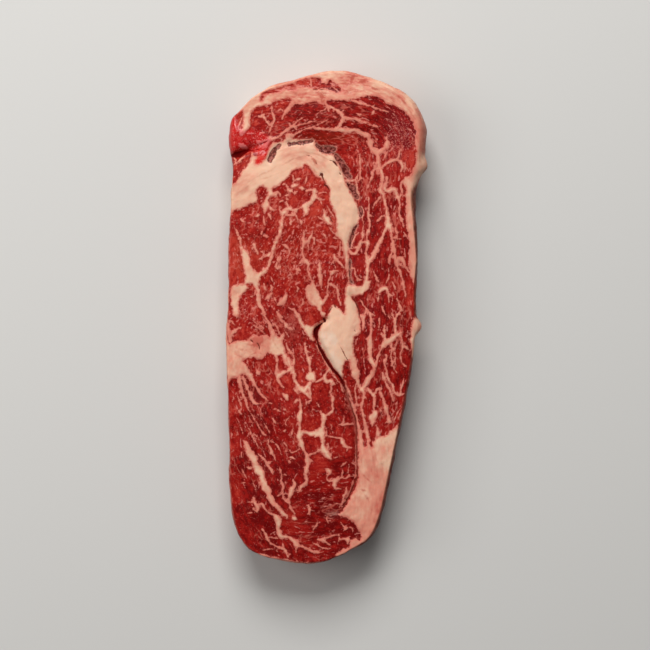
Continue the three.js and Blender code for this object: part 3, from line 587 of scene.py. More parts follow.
EYE_MIDDLE_VEINS = [
    [(-30, 5, 0.9), (-29, 2.8, 0.7), (-27.6, -0.5, 0.6), (-26.3, -3, 0.65), (-25.2, -6, 0.8),
     (-24.3, -9, 1)],
    [(0.5, 14.7, 0.3), (2, 14.2, 0.42), (3.5, 13, 0.38), (4.4, 12, 0.45), (4.9, 10, 0.36),
     (5.2, 7.5, 0.28), (6, 5.3, 0.25)],
    [(0.4, 14.3, 0.4), (0.5, 12, 0.5), (0.4, 9.5, 0.5), (-0.5, 7.6, 0.5), (-1.8, 5.8, 0.5)],
    (0.33, (1.4, 19.2), (1, 17), (0.3, 15)),
    (0.38, (1.3, 20.3), (2.3, 20.2), (3.5, 20.4), (4.8, 20.2)),
    (0.75, (2.2, 19.8), (2.2, 19.2)),
    [(3.3, 27.5, 0.35), (3.4, 26, 0.75), (4.8, 25, 0.45), (6.2, 23.8, 0.35), (7.5, 22.3, 0.28)],
    (0.35, (3.2, 26), (3.1, 23.3), (3.8, 21.5)),
    [(-27.4, 8.1, 0.45), (-26.2, 9, 0.75), (-25.3, 9.8, 0.35)],
    [(-21.6, 5.5, 0.6), (-20.6, 6, 0.95), (-19.5, 7, 1.1), (-18.7, 8.5, 0.9), (-18.1, 9.4, 0.4)],
    (0.3, (-10.8, 7.6), (-10.7, 6), (-11.3, 4.8)),
    [(-22.2, 1.6, 0.35), (-21.3, 0, 0.5), (-21, -1.5, 0.42), (-20.3, -3, 0.28)],
    (0.3, (-23.6, 8), (-22.8, 6.3)),
    (0.32, (-24.2, -3.3), (-22.8, -5), (-21.8, -6.5), (-21.2, -8)),
    [(-45, -2, 0.4), (-44.6, -5, 0.9), (-44.2, -8, 1.3), (-43.8, -11, 1)],
    [(-44, -8.4, 0.7), (-42.2, -7.2, 0.8), (-40.5, -6.2, 0.5), (-39.2, -5.6, 0.25)],
    (0.3, (-44.2, -2), (-42.8, -2.9), (-41.4, -4.2)),
    (0.2, (-33.5, -2.4), (-30.6, -3.9), (-28.4, -5.6)),
    (0.2, (-31.6, -5.2), (-29.8, -6.2), (-27.8, -7.8)),
    (0.5, (-32.8, -4.6), (-31.9, -5)),
    (0.22, (-34, 8.6), (-33, 9), (-32.4, 10.4), (-32.2, 11.8)),
    [(-19.4, -2.8, 0.35), (-18.5, -4.5, 0.8), (-17.3, -5.8, 0.4)],
    (0.32, (-19.2, -6.3), (-17.9, -8.2)),
    [(-14.7, 3, 0.35), (-13.5, 1, 0.6), (-12.5, -1, 0.6), (-11.8, -3, 0.7), (-10.5, -4.5, 0.9)],
    (0.25, (-17.2, 4.2), (-15.3, 2.6)),
    [(-9.9, -12.8, 0.3), (-9.5, -15, 0.48), (-8.9, -17, 0.48), (-8.3, -19, 0.7), (-8, -21, 0.6),
     (-7.8, -23, 0.42), (-7.3, -25.4, 0.7)],
    (0.35, (-8.2, -18.8), (-7.3, -18.2), (-6.4, -18)),
    [(-18.3, -12.8, 0.35), (-17.5, -15, 0.35), (-15.7, -17, 0.28), (-15.1, -19, 0.34),
     (-15.1, -21, 0.4), (-15.3, -23, 0.5), (-15.3, -25.5, 0.75), (-14.8, -27.5, 0.65),
     (-14, -29.5, 0.65), (-13.4, -31, 0.6)],
    [(-17.6, -19.5, 0.9), (-16.8, -21.5, 0.8), (-16.2, -23.2, 0.85), (-17.5, -24.4, 0.95),
     (-19, -25.2, 0.9), (-20.5, -26, 0.9), (-22, -26.9, 1.15), (-22, -28.6, 0.6),
     (-21.1, -30.3, 0.35), (-19.6, -32, 0.2)],
    [(-23, -18, 0.6), (-22.5, -20.5, 0.4), (-22.7, -23, 0.45), (-22.9, -25, 0.55),
     (-22.4, -27, 0.9)],
    (1, (-31.3, -24.8), (-30.5, -26)),
    [(-13.5, -31, 0.6), (-12.5, -32, 1), (-11.3, -33, 1.1), (-10, -34, 0.75), (-9, -35, 0.75),
     (-8, -36.2, 0.5)],
    [(-10, -33.8, 0.7), (-9.3, -32.6, 0.8), (-8.5, -31, 0.75), (-7.9, -29.8, 0.7)],
    [(-8.2, -32.5, 0.6), (-7.6, -35, 0.45), (-7.2, -37.8, 0.3)],
    (0.28, (-14.6, -32.8), (-13, -34.8)),
    [(-19.5, -35.2, 0.7), (-18.5, -36.2, 1), (-18.1, -37.3, 0.6)],
    [(-34.6, -27, 1), (-33.2, -29.8, 0.75), (-31.8, -32, 0.45), (-30.6, -33.8, 0.38),
     (-29.3, -35.7, 0.38), (-28.3, -36.9, 0.55), (-27, -37.8, 0.35)],
    [(-37.8, -27.5, 0.4), (-36.8, -30.5, 0.5), (-35.5, -33.6, 0.55), (-34.4, -35.8, 0.7),
     (-33.6, -37.4, 0.75), (-32.6, -38.9, 0.8), (-31.6, -39.6, 0.55), (-30, -39.5, 0.35)],
    [(-39.5, -27.5, 0.75), (-39.2, -31, 0.65), (-38.5, -33.6, 0.5), (-37.7, -36, 0.35),
     (-36.9, -37.8, 0.35), (-36.4, -39.8, 0.5), (-35.7, -41.5, 0.35), (-34.6, -43.5, 0.18),
     (-33.3, -45.4, 0.15), (-32, -47.7, 0.22), (-30.7, -50, 0.18), (-29.8, -51.4, 0.22),
     (-28.8, -52.8, 0.4), (-27.9, -53.4, 0.15)],
    (0.35, (-41, -35), (-40, -37.5), (-39.2, -39.5), (-38.7, -41)),
    (0.3, (-5, -12), (-4.4, -14.4), (-2.2, -18), (0.3, -22.8), (3, -26.8), (5.5, -30)),
    [(1.2, -24, 0.35), (-0.3, -25.5, 0.5), (-1.2, -28.3, 0.8), (-0.2, -29.3, 0.7),
     (1.8, -29.5, 0.6), (3, -30.6, 0.5)],
    (0.4, (-5, -29.5), (-3, -29), (-1.5, -28.5)),
    (0.3, (1.3, -29.6), (1.9, -32.4), (1.4, -35)),
    (0.3, (5.5, -29.5), (6.6, -31.7), (7.4, -34.5)),
    (0.4, (-4.4, -39.2), (-3.6, -40.6)),
    (0.35, (-9.5, -38.3), (-9, -40.1)),
]
EYE_LOWER_VEINS = [
    (0.35, (-26.1, -39.3), (-24.4, -39.5)),
    (0.5, (-22.4, -42.2), (-21.2, -42.6)),
    (0.5, (-19.3, -41.9), (-18.6, -42.3)),
    (0.35, (-24.1, -42), (-22.9, -41.7)),
    (0.35, (-14.6, -39.2), (-13.5, -37.9), (-12.5, -37.8)),
    [(-12.6, -37.3, 0.35), (-12.2, -39.5, 0.5), (-11.8, -41.5, 0.55), (-12, -43.5, 0.85),
     (-12.6, -45.5, 1.2), (-12.3, -47, 0.85), (-12.3, -49, 0.65), (-12.2, -51, 0.7),
     (-12.2, -53, 1), (-12.4, -54.5, 1.3), (-11.8, -56.5, 1.2), (-11.5, -58.3, 1.1),
     (-10.5, -60, 0.75), (-9.8, -61.5, 0.6), (-9, -63.5, 0.8), (-8.5, -65.5, 1.1), (-8.4, -67, 1),
     (-9.3, -69, 0.85), (-9.9, -71, 0.8), (-9.4, -73, 0.75), (-9.3, -75, 0.65), (-10.3, -76.3, 0.7),
     (-11.5, -77, 0.65), (-12, -78.3, 0.55), (-13, -79.3, 0.35)],
    [(-11, -52.2, 0.8), (-9, -52.4, 0.75), (-7, -53, 0.85), (-5, -53, 1)],
    [(-2, -57, 0.5), (-1.8, -59, 0.85), (-1.1, -60.5, 1.3), (-0.3, -61.5, 1.2), (0.5, -63, 0.85),
     (1.4, -64.2, 0.6)],
    (0.45, (0.3, -57.6), (0.4, -60)),
    [(-2, -60.3, 0.8), (-4, -61, 0.55), (-6, -61.6, 0.45), (-8.3, -62.4, 0.4)],
    (0.5, (3.4, -63.8), (4.6, -63.4)),
    [(-1, -54, 0.5), (1, -54.1, 0.38), (3, -54.5, 0.36), (5, -55, 0.38), (6.4, -55, 0.5),
     (6.9, -56.5, 0.85), (7.8, -58, 0.75), (9, -59, 0.6), (10.9, -59.5, 0.28)],
    [(-0.2, -45, 0.6), (1.5, -43.6, 0.65), (2.5, -42.5, 0.6), (2.4, -40.5, 0.5), (2.2, -38.5, 0.55),
     (2.5, -37.3, 0.8), (1.8, -36, 0.45), (1.3, -34.8, 0.28)],
    [(5.4, -48.8, 0.3), (7.5, -48.7, 0.5), (9.5, -48.5, 0.55), (11.9, -49, 0.4)],
    (0.32, (7.6, -45.3), (7.3, -47), (6.5, -48.4)),
    (0.33, (1.3, -48.6), (2, -49.5), (2.2, -51.2)),
    (0.3, (-1, -50), (-0.3, -53), (0, -55)),
    [(-15, -74.5, 0.6), (-14.6, -76, 0.65), (-15.2, -77.5, 0.75), (-16.2, -79, 1.1),
     (-16.8, -81, 1), (-17.3, -83, 0.85), (-17, -84.5, 0.6), (-16.5, -86, 0.55),
     (-15.5, -87.3, 0.65), (-14.7, -88.7, 0.4)],
    (0.33, (-14.2, -77.4), (-13.3, -78.8), (-12.4, -79.4)),
    [(-21.2, -68.2, 0.4), (-20.8, -70.5, 0.38), (-20.5, -72.5, 0.48), (-20.5, -74.5, 0.5),
     (-20, -76.5, 0.55), (-20, -78.5, 0.48), (-20, -80.5, 0.48), (-19.3, -82.3, 0.55),
     (-18, -83.8, 0.55), (-17, -84.6, 0.5)],
    (0.38, (-22.4, -81.1), (-21.3, -80.5), (-20.2, -80.3)),
    [(-37.2, -56.6, 0.6), (-36, -58.3, 1.1), (-34.6, -61.5, 1.6), (-33.4, -64.5, 1.8),
     (-32, -67.5, 1.9), (-30.4, -70.5, 1.8), (-29, -73.5, 1.65), (-27.8, -76.5, 1.6),
     (-26.5, -79.5, 1.5), (-25.3, -82, 1.4), (-24, -84.5, 1.1)],
    [(-22.9, -84.8, 0.6), (-22, -86, 1.1), (-21, -87.3, 1.15), (-19.6, -89, 0.95),
     (-17.9, -90.2, 0.5)],
    (0.7, (-35.7, -68.2), (-33.8, -69)),
    (0.45, (-26.7, -76), (-25.8, -77.5)),
    [(-30.6, -62.2, 0.35), (-28.8, -64, 0.65), (-27.5, -66, 0.65), (-26, -68, 0.65),
     (-25, -69.5, 0.75), (-24.2, -71.3, 0.45)],
    [(-26.5, -58, 0.5), (-25.3, -60.3, 0.75), (-24.5, -62, 0.85), (-23.4, -63.2, 0.35)],
    (0.4, (-26.7, -55.3), (-26.2, -57.6)),
    (0.42, (-27.9, -48.9), (-26.8, -50.5), (-26.2, -52.2)),
    (0.28, (-25.3, -56), (-23.5, -57.5), (-21.8, -59.5), (-20.7, -62.3)),
    (0.32, (-39.3, -48.8), (-38.7, -51), (-38.2, -53.3)),
    (0.3, (-36.1, -49.3), (-34.5, -52), (-33.5, -54.5), (-31.8, -57), (-30.9, -59.2)),
    (0.32, (-33.1, -52.9), (-31.5, -54.3), (-30.4, -55.4)),
    (0.32, (-38.3, -61.3), (-38.3, -63.7)),
    (0.28, (-33.1, -75.8), (-32.3, -77.5), (-31.7, -79.2)),
    (0.32, (-38.1, -69.3), (-37.3, -71.3), (-36.6, -72.6)),
    (0.36, (-38.6, -75.4), (-37.2, -75)),
    (0.45, (-39.6, -42.8), (-38.3, -44.4)),
    (0.32, (-16.9, -45.3), (-18.2, -46.8), (-18.7, -48.5), (-17.9, -49.7)),
    (0.4, (-15.6, -51.2), (-16, -53.5), (-16.3, -54.8)),
    (0.5, (-19.4, -51.8), (-18.6, -51.5)),
    (0.36, (-20, -56.8), (-18.3, -58.4)),
    (0.36, (-17.2, -60.2), (-16, -61.5), (-14.3, -61), (-12.4, -59.6)),
    (0.5, (-16.6, -63.5), (-14.5, -64.3)),
    (0.5, (-17.6, -65), (-16.7, -66.1)),
    (0.36, (-24.1, -46.3), (-23.4, -48.2)),
    [(-33.3, -82, 0.5), (-32.8, -83.8, 0.75), (-31.8, -85.3, 0.75), (-31.2, -86.8, 0.75),
     (-32, -88, 0.55), (-33.2, -87.4, 0.3)],
    (0.6, (-35.5, -84), (-34, -83.8), (-32.8, -83.8)),
    [(-31.2, -85, 0.5), (-29.5, -84.8, 0.55), (-28.3, -86, 0.45), (-27.5, -87.5, 0.55),
     (-26, -88.8, 0.5), (-24, -89.3, 0.55), (-22.6, -90.3, 0.9)],
    (0.45, (-35.4, -89.3), (-34, -89)),
    [(-22.8, -90, 0.9), (-22.1, -92, 1.3), (-21.9, -94, 1.3), (-22, -96, 0.95), (-21.4, -98, 1.4),
     (-20.6, -99.3, 1.2), (-19, -99.3, 0.7), (-17, -99.8, 0.55), (-15.5, -100.9, 0.75),
     (-14.1, -102.2, 1.15), (-13.2, -103.3, 1), (-11, -103.8, 0.6), (-8.5, -105, 0.55),
     (-6.5, -106.2, 0.55), (-4, -106.5, 0.45), (-2, -106.4, 0.25)],
    (0.42, (-13.6, -103.8), (-13.8, -106.2)),
    [(-28.9, -96.3, 0.35), (-28, -98, 0.65), (-27, -99.4, 0.75), (-26.5, -101, 0.55),
     (-25.5, -102.3, 0.48), (-23.5, -103.7, 0.48), (-21.5, -104.3, 0.55), (-19.5, -105, 0.55),
     (-18.3, -106.5, 0.65), (-17.4, -108.2, 0.35)],
    (0.36, (-27, -99.5), (-25, -99.8), (-22.5, -100.2)),
    (0.36, (-20.3, -104.5), (-20, -102.4)),
    (0.26, (-28.6, -105.3), (-26, -105.2), (-22.5, -104.7)),
    (1.05, (-15, -90.8), (-14.2, -91.4)),
    [(-8.2, -85.8, 0.7), (-7.8, -87.4, 0.65), (-7.8, -89.2, 0.35)],
    [(-0.3, -68.9, 0.4), (1, -69.5, 0.85), (1.3, -70.8, 0.6), (0.4, -72, 0.42), (0, -73.5, 0.38),
     (1.2, -74.3, 0.38), (3, -74, 0.75), (5, -73.7, 0.75), (6.5, -73, 0.55), (8.5, -73.3, 0.38),
     (9.8, -72.5, 0.38), (11.7, -72.3, 0.28)],
    [(3.6, -74.3, 1), (3.3, -76, 0.85), (3.9, -77.5, 0.55), (6, -77.7, 0.28)],
    (0.36, (6.9, -72.8), (7, -70.5), (6.8, -69)),
    (0.32, (9.9, -72), (9.8, -69.5), (9.7, -66.8)),
    (0.4, (6.5, -67.5), (7.5, -66.5), (8.7, -65.9)),
    (0.3, (13, -58), (13.1, -64), (13, -69), (12.4, -73.4), (11.2, -76.6), (9.8, -79.8), (8, -83.2),
     (6.4, -86)),
    (0.3, (11, -66), (12.2, -67.3)),
    [(8.6, -77.8, 0.55), (8.3, -80, 0.65), (7.6, -82, 0.55), (7, -84, 0.48), (6, -85.8, 0.28)],
    (0.33, (0.3, -89.5), (-0.3, -91.5), (0.7, -93.3)),
    [(-4.4, -93.2, 0.45), (-5.2, -94.8, 0.4), (-6.1, -96.4, 0.28)],
    [(-1.7, -99.9, 0.45), (0.5, -100, 0.5), (2.5, -99.3, 0.45), (4.6, -98.9, 0.28)],
    [(-3.7, -100.8, 0.5), (-1.6, -100.9, 0.85), (-0.1, -102, 0.6), (1.1, -103.1, 0.35)],
    (0.32, (-6.2, -102.7), (-4, -103.3), (-2, -104.5), (0, -105.2)),
    (0.33, (6.3, -93.3), (7, -94.8), (9, -95.3), (11, -95.5), (11.6, -97.4)),
    (0.36, (7.6, -97), (9, -95.4)),
    [(5.4, -98.8, 0.4), (6, -100.8, 0.4), (7.5, -100.5, 0.4), (9, -100.9, 0.9), (9.5, -102.5, 0.5)],
    (0.9, (-31.3, -107.5), (-28, -108.6), (-24, -109.2), (-21, -110), (-18, -110.7), (-14, -111.3),
     (-10, -111.6), (-7, -111.8)),
    (0.7, (-45.2, -38), (-45, -50), (-44.8, -62), (-44.4, -74), (-43.7, -84), (-42.4, -93)),
]
# The end muscle's list also holds painted highlights, drawn as thin fat.
VEINS = END_MUSCLE_VEINS_AND_GLINTS + CAP_VEINS + EYE_TOP_VEINS + EYE_MIDDLE_VEINS + EYE_LOWER_VEINS
print("veins drawn:", len(VEINS))

# %% Crevices, darkened with painted shade, and grey spots
CREVICES = [
    [(-1.5, -1.5, 0.4), (-0.9, -2.3, 0.55), (-1.3, -2.9, 0.3)],
    [(-2.3, -3.6, 0.3), (-3.5, -4.5, 0.5), (-4.5, -5.9, 0.8), (-5, -7.8, 0.95), (-4.8, -9.9, 0.55),
     (-4.2, -12, 0.3), (-3.3, -14.2, 0.55), (-2.2, -16.4, 0.7), (-0.8, -18.8, 0.75),
     (0.9, -21.5, 0.65), (2.6, -24, 0.55), (4.6, -26.3, 0.5), (6.2, -28.3, 0.45), (7.4, -30.9, 0.4),
     (8.2, -33, 0.3), (9, -35.5, 0.14), (10.2, -39, 0.12), (11.4, -42.7, 0.24), (12.4, -45.5, 0.26),
     (13.1, -50, 0.24), (13.3, -54, 0.18), (13.4, -60, 0.2), (13.6, -66, 0.14), (13.8, -70, 0.14),
     (13.2, -73.5, 0.18), (12, -76.8, 0.2), (10.6, -80.2, 0.2), (8.9, -83.6, 0.2), (6.9, -87, 0.16),
     (5, -89.2, 0.08)],
    [(-45, 72.3, 1), (-42, 72.5, 1.05), (-39.5, 73, 0.95), (-37.5, 73.8, 0.7), (-35.5, 74.6, 0.4),
     (-33.5, 74.9, 0.25), (-31, 75.2, 0.15)],
    (0.28, (3.4, 4.9), (3.9, 3.9)),
    (0.25, (2.2, 4), (1.3, 2.6), (0.6, 1)),
    (0.2, (0.1, 45.3), (1.3, 44.6), (2.2, 43), (3.6, 41.3)),
    (0.28, (11, 8.5), (12.2, 7.2), (13.3, 5.2), (14.1, 3), (14.6, 0.6), (15, -0.8)),
    [(-3, 63.5, 0.3), (-2.3, 64, 0.6), (-2, 62.6, 0.35), (-1.2, 61, 0.14), (-0.6, 60, 0.1)],
    [(-1.3, 58.9, 0.25), (-0.2, 58.6, 0.35), (0.4, 57.8, 0.3), (1.1, 56.5, 0.2)],
    [(1.4, 70, 0.15), (2.6, 69.6, 0.3), (3.6, 69, 0.5), (4.4, 67.8, 0.25)],
    (0.25, (5.9, 64.4), (6.2, 63.7)),
    (0.15, (-9, 72.4), (-8, 72.2), (-7, 71.8)),
    (0.2, (-4.9, 69.2), (-4.6, 68.4)),
    (0.32, (-30.2, 77.3), (-28.5, 77.9), (-26.8, 78.9)),
    (0.22, (-36, 79.5), (-34.8, 78.6), (-34.2, 77.6)),
    (0.2, (-37.6, 78.6), (-36.4, 77.4)),
    (0.22, (12.6, -6.3), (12.8, -7)),
    (0.14, (5.4, -12.6), (6.8, -15), (8.3, -18.2), (9.4, -20)),
    (0.3, (-31.3, -12.3), (-30.6, -13.4), (-30.5, -15)),
    (0.28, (-34.3, -10.9), (-33.7, -11.4), (-33, -11.9)),
    (0.15, (-26.8, -16.7), (-26.3, -18)),
    (0.22, (-42.9, 70.7), (-42.6, 69)),
    (0.3, (-6.1, 102), (-4.3, 102)),
    (0.14, (-3.2, 102), (-1.4, 101.9)),
    (0.2, (16.3, -57), (16.7, -59)),
]
GREY_SPOTS = [
    [(-25.8, 70.4, 1.45), (-24.5, 73, 1.35), (-23.2, 75.3, 1)],
    [(-22, 76.1, 0.8), (-21.3, 77.1, 0.75)],
    [(-16.8, 77.5, 1), (-14.5, 77.7, 0.9), (-12, 78, 0.85), (-9, 78.4, 0.9), (-6.6, 78.7, 0.8)],
    [(-4.6, 77, 0.5), (-3.4, 76, 0.6)],
    [(-2.4, 74.9, 1), (-0.5, 75, 1.4), (1.5, 75, 1.5), (3.2, 75.1, 1)],
    [(4.1, 72, 1), (5.3, 70.6, 1.2), (6.6, 68.4, 1.1), (7.8, 66.4, 1.2), (8.7, 64.2, 1.2),
     (9.8, 62.6, 1.1)],
    [(9.4, 59.4, 0.5), (11.2, 57.8, 1.1), (12, 56.6, 1.1), (12.6, 55, 0.8), (13.6, 53.5, 0.6)],
    [(15, 48.7, 0.5), (15.5, 47, 0.7), (15, 45, 0.6)],
    [(13.5, 40.9, 0.4), (12.3, 39.2, 0.65), (11.4, 36.7, 0.65), (10.7, 34, 0.55), (10.2, 31, 0.4)],
    [(10.1, 25, 0.35), (10.4, 22, 0.35), (10.3, 18.5, 0.3), (10.8, 16, 0.3), (11.3, 14.9, 0.25)],
]
# Thin red lines and smears on the fat: small vessels and traces of lean
TRACES = [
    (0.3, (-20, 68), (-17.5, 69.5), (-15, 70.8), (-12, 71.5), (-9.5, 72)),
    [(-7, 71.3, 0.3), (-6.1, 70.4, 0.6), (-5.4, 69.5, 0.6), (-4.6, 68.4, 0.3)],
    (0.28, (-12.5, 73.9), (-8.5, 73.6), (-5, 73), (-3, 72.3), (-1, 71.3), (1, 70.2)),
    (0.25, (-33, 62), (-29, 64), (-26, 65), (-23, 67.3)),
    (0.25, (-30, 61.5), (-26, 62.5), (-22, 64.5)),
    (0.25, (-40.5, 55), (-37, 57.5), (-33.5, 60.5)),
    (0.5, (-6, 66.5), (-5, 64.5), (-4.6, 63)),
    (0.25, (1.4, 52), (2.2, 48.5), (3.7, 45.8)),
    (0.3, (4.8, 39), (5, 36.6), (6.4, 35)),
    (0.28, (5.8, 37.5), (7.3, 31), (8, 26), (8.8, 20)),
    (0.4, (15.6, -70.6), (17.3, -72.8), (20, -75)),
    (0.45, (15.3, -78.2), (18, -79)),
    (0.4, (17.2, -80.6), (18.8, -83.6)),
    (0.3, (12.7, -77), (13.3, -80)),
    (0.25, (20.7, -84), (19.7, -90)),
    (0.28, (24.5, -79), (23.3, -84), (21.6, -91)),
    (0.28, (15, -60), (15.6, -63), (15.3, -68)),
    (0.25, (20.2, -60), (20.9, -65), (21.6, -70)),
    (0.4, (-16, 101), (-14.5, 100.2), (-13.2, 99.6)),
    (0.5, (-13, 98.6), (-11.5, 98.2), (-10.4, 98.5)),
    (0.5, (-6.3, 100.5), (-4, 100.9), (-1.8, 100.4), (0.7, 100.1)),
    (0.3, (-11, 102.3), (-9.5, 101.8), (-7, 102.3)),
    (0.3, (-8.8, 102.7), (-7.4, 102.8)),
    (0.55, (7.8, 100.9), (9.5, 100.8), (11.4, 100.6)),
    (0.4, (7, 101.7), (8.4, 101.4)),
    (0.3, (9, 102), (12, 101.9), (15, 102.1)),
    [(-3.5, 98.9, 0.4), (-2, 98.2, 0.9), (-1.9, 96.6, 0.9), (-1.4, 95.2, 0.6)],
    (0.6, (8, 104.7), (9, 104.4), (10.6, 104.4)),
    [(10.8, 104.8, 0.4), (11.3, 106.8, 0.8), (12.3, 108.4, 0.5)],
    (0.3, (6, 106), (8, 106.5), (9.6, 107.8)),
    (0.9, (15.2, 105.6), (18.4, 105.8)),
    (0.5, (19.3, 103.4), (20.6, 102.7), (22.4, 102.2), (24, 102)),
    (0.3, (12, 103.6), (15, 103.9), (18.5, 103.6)),
    (0.3, (12, 101.2), (15, 101.4), (19, 102)),
    (0.25, (5.5, 107.3), (8.8, 107.8)),
    (0.4, (29.5, 100.2), (31.5, 99.3), (33.2, 98), (34.8, 96.4), (36.2, 94.8)),
    (0.35, (27.2, 99.2), (29, 98), (30.2, 96.2)),
    (0.25, (-24, 104), (-20, 105), (-16, 106.2), (-11, 107.8)),
    (0.25, (20.5, 99.3), (25, 100.3), (30, 98.6)),
    (0.3, (36.3, 93.2), (38.3, 91), (40, 88), (41, 84)),
    (0.25, (41.4, 82), (41.8, 77.5), (42.3, 73.5)),
    (0.4, (36.8, 61.6), (38.6, 64.2), (40.4, 67.6), (41.4, 70.4), (42.4, 73.4)),
    (0.3, (-37, -12.5), (-34, -13.2), (-30, -12.2), (-27.5, -10.5)),
    (0.35, (-34.5, -17.5), (-31, -16.4), (-28.5, -17.3)),
    (0.3, (-42, -17), (-38.5, -18.5), (-36, -20)),
    (0.28, (-41, -14.5), (-37.5, -15.4), (-33.5, -15)),
    (0.3, (-24.5, -10.5), (-23.2, -13), (-21.5, -15)),
]
print("crevices:", len(CREVICES), "grey spots:", len(GREY_SPOTS), "traces:", len(TRACES))

# %% [markdown]
# ## From paths to fields
#
# For each point of the surface the drawing answers three questions: how far is the middle of the
# vein that the point lies deepest in, on which side of it, and how wide is that vein. The signed
# distance matters: it changes evenly across the vein, so even a vein thinner than a grid cell
# stays crisp when the material rebuilds it between the grid's points.

# %% Nearest step of a curve
def nearest_step(places, curve):
    """For each place the step of a curve that it lies deepest in (half width less distance, or the
    nearest step where the curve has no widths): the step's number, the share of it passed, the
    distance, and the distance with a sign, positive on the curve's left."""
    if curve.shape[1] == 2:
        curve = np.c_[curve, np.zeros(len(curve))]
    start, step = curve[:-1], np.diff(curve, axis=0)
    offset = places[:, None] - start[None, :, :2]
    t = np.sum(offset * step[:, :2], -1) / np.maximum(np.sum(step[:, :2] ** 2, -1), TINY)
    t = np.clip(t, 0, 1)
    gap = np.linalg.norm(offset - t[..., None] * step[:, :2], axis=-1)
    pick = np.argmax(start[:, 2] + t * step[:, 2] - gap, axis=1)
    row = np.arange(len(places))
    gap, offset = gap[row, pick], offset[row, pick]
    turn = step[pick, 0] * offset[:, 1] - step[pick, 1] * offset[:, 0]
    return pick, t[row, pick], gap, np.sign(turn) * gap


def within(places, curve, reach):
    """Numbers of the places inside the curve's box, widened by the reach."""
    low, high = curve[:, :2].min(0) - reach, curve[:, :2].max(0) + reach
    return np.flatnonzero(np.all((places > low) & (places < high), axis=1))


# %% Distance to paths
PATH_STEPS = 4
REACH = 3.0  # mm beyond a vein's edge where it still counts
NO_PATH = 4.0  # mm, the distance given where there is none within reach


class Deepest:
    """What each place lies deepest in: the distance to its middle, the same with a sign for the
    side, and its half width."""

    def __init__(self, count, far):
        self.depth = np.full(count, -REACH)
        self.values = np.tile([far, far, 0.0], (count, 1))

    def offer(self, rows, gap, side, half):
        """Takes the offered vein or fleck at the rows where it is deeper than what they have."""
        better = half - gap > self.depth[rows]
        rows = rows[better]
        self.depth[rows] = (half - gap)[better]
        self.values[rows] = np.stack([gap, side, half], 1)[better]


def path_field(places, paths):
    """The three values of the path that each place lies deepest in."""
    deepest = Deepest(len(places), NO_PATH)
    for path in paths:
        curve = smooth_curve(vein_path(path), False, PATH_STEPS)
        near = within(places, curve, REACH + curve[:, 2].max())
        pick, t, gap, side = nearest_step(places[near], curve)
        half = curve[pick, 2] + t * (curve[pick + 1, 2] - curve[pick, 2])
        deepest.offer(near, gap, side, half)
    return deepest.values


# %% Distance to borders
BORDER_STEPS = 3
BORDER_REACH = 6.0


def border_field(places, borders):
    """Signed distance to the nearest border, positive inside: the distance to the border's pieces,
    with its sign from counting how many pieces a ray crosses."""
    best = np.full(len(places), -BORDER_REACH)
    for border in borders:
        curve = smooth_curve(border, True, BORDER_STEPS)
        near = within(places, curve, BORDER_REACH)
        x, y = places[near].T
        gap = np.full(len(near), BORDER_REACH)
        crossings = np.zeros(len(near), int)
        for (x0, y0), (dx, dy) in zip(curve, np.roll(curve, -1, 0) - curve):
            t = np.clip(((x - x0) * dx + (y - y0) * dy) / (dx * dx + dy * dy), 0, 1)
            gap = np.minimum(gap, np.hypot(x - x0 - t * dx, y - y0 - t * dy))
            spans = (y0 > y) != (y0 + dy > y)
            crossings += spans & (x < x0 + dx * (y - y0) / (dy if dy else TINY))
        best[near] = np.maximum(best[near], np.where(crossings % 2 == 1, gap, -gap))
    return best


# %% [markdown]
# A vein is never a clean line: little spurs of fat leave it to run between the fibre bundles. They
# are grown at random from the drawn veins, every couple of millimetres, and lean either way from
# the vein's own direction.

# %% Spurs
SPUR_START = 0.5  # mm from the start of a vein to its first possible spur
SPUR_STEP = 2.2  # mm from one possible spur to the next
SPUR_LOOK = 0.5  # mm further along, to a point that tells which way the vein runs
SPUR_SHARE = 0.36
SPURLESS = 3.2  # a vein shorter than this has no spurs
SPUR_LIMITS = (0.3, 1.1)  # half widths of a vein between which it has spurs
SPUR_LEAN = (0.35, 0.9)  # radians away from the vein: the least, and the most that chance adds
SPUR_LENGTH = 2.0
SHORTEST_SPUR = 0.2  # as a share of that length
SPUR_WIDTHS = (0.2, 0.6)  # least and most half width at a spur's root
SPUR_PART = 0.7  # share of the vein's half width that chance adds at most
SPUR_BEND = (0.6, 0.75)  # a point on the way out: share of the length, share of the root's width
SPUR_TIP = 0.1


def grow_spurs(veins, seed):
    """Short tapering side branches: where each starts, which way it leans and how long it is come
    from a seeded generator."""
    dice = np.random.default_rng(seed)
    spurs = []
    for vein in veins:
        curve = smooth_curve(vein_path(vein), False, PATH_STEPS)
        travelled = distance_along(curve[:, :2])
        if travelled[-1] < SPURLESS:
            continue
        for at in np.arange(SPUR_START, travelled[-1], SPUR_STEP):
            roll, place, lean, reach, size = dice.random(5)
            if roll > SPUR_SHARE:
                continue
            x, y, half = (np.interp(at + place, travelled, curve[:, k]) for k in range(3))
            if not SPUR_LIMITS[0] < half < SPUR_LIMITS[1]:
                continue
            ahead = [np.interp(at + place + SPUR_LOOK, travelled, curve[:, k]) for k in range(2)]
            heading = math.atan2(ahead[1] - y, ahead[0] - x)
            turn = SPUR_LEAN[0] + SPUR_LEAN[1] * abs(2 * lean - 1)
            heading += math.copysign(turn, lean - 0.5)
            length = half + SPUR_LENGTH * (SHORTEST_SPUR + (1 - SHORTEST_SPUR) * reach**2)
            root = min(SPUR_WIDTHS[1], SPUR_WIDTHS[0] + SPUR_PART * size * half)
            dx, dy = length * math.cos(heading), length * math.sin(heading)
            out, narrower = SPUR_BEND
            spurs.append([(x, y, root), (x + out * dx, y + out * dy, narrower * root),
                          (x + dx, y + dy, SPUR_TIP)])
    return spurs


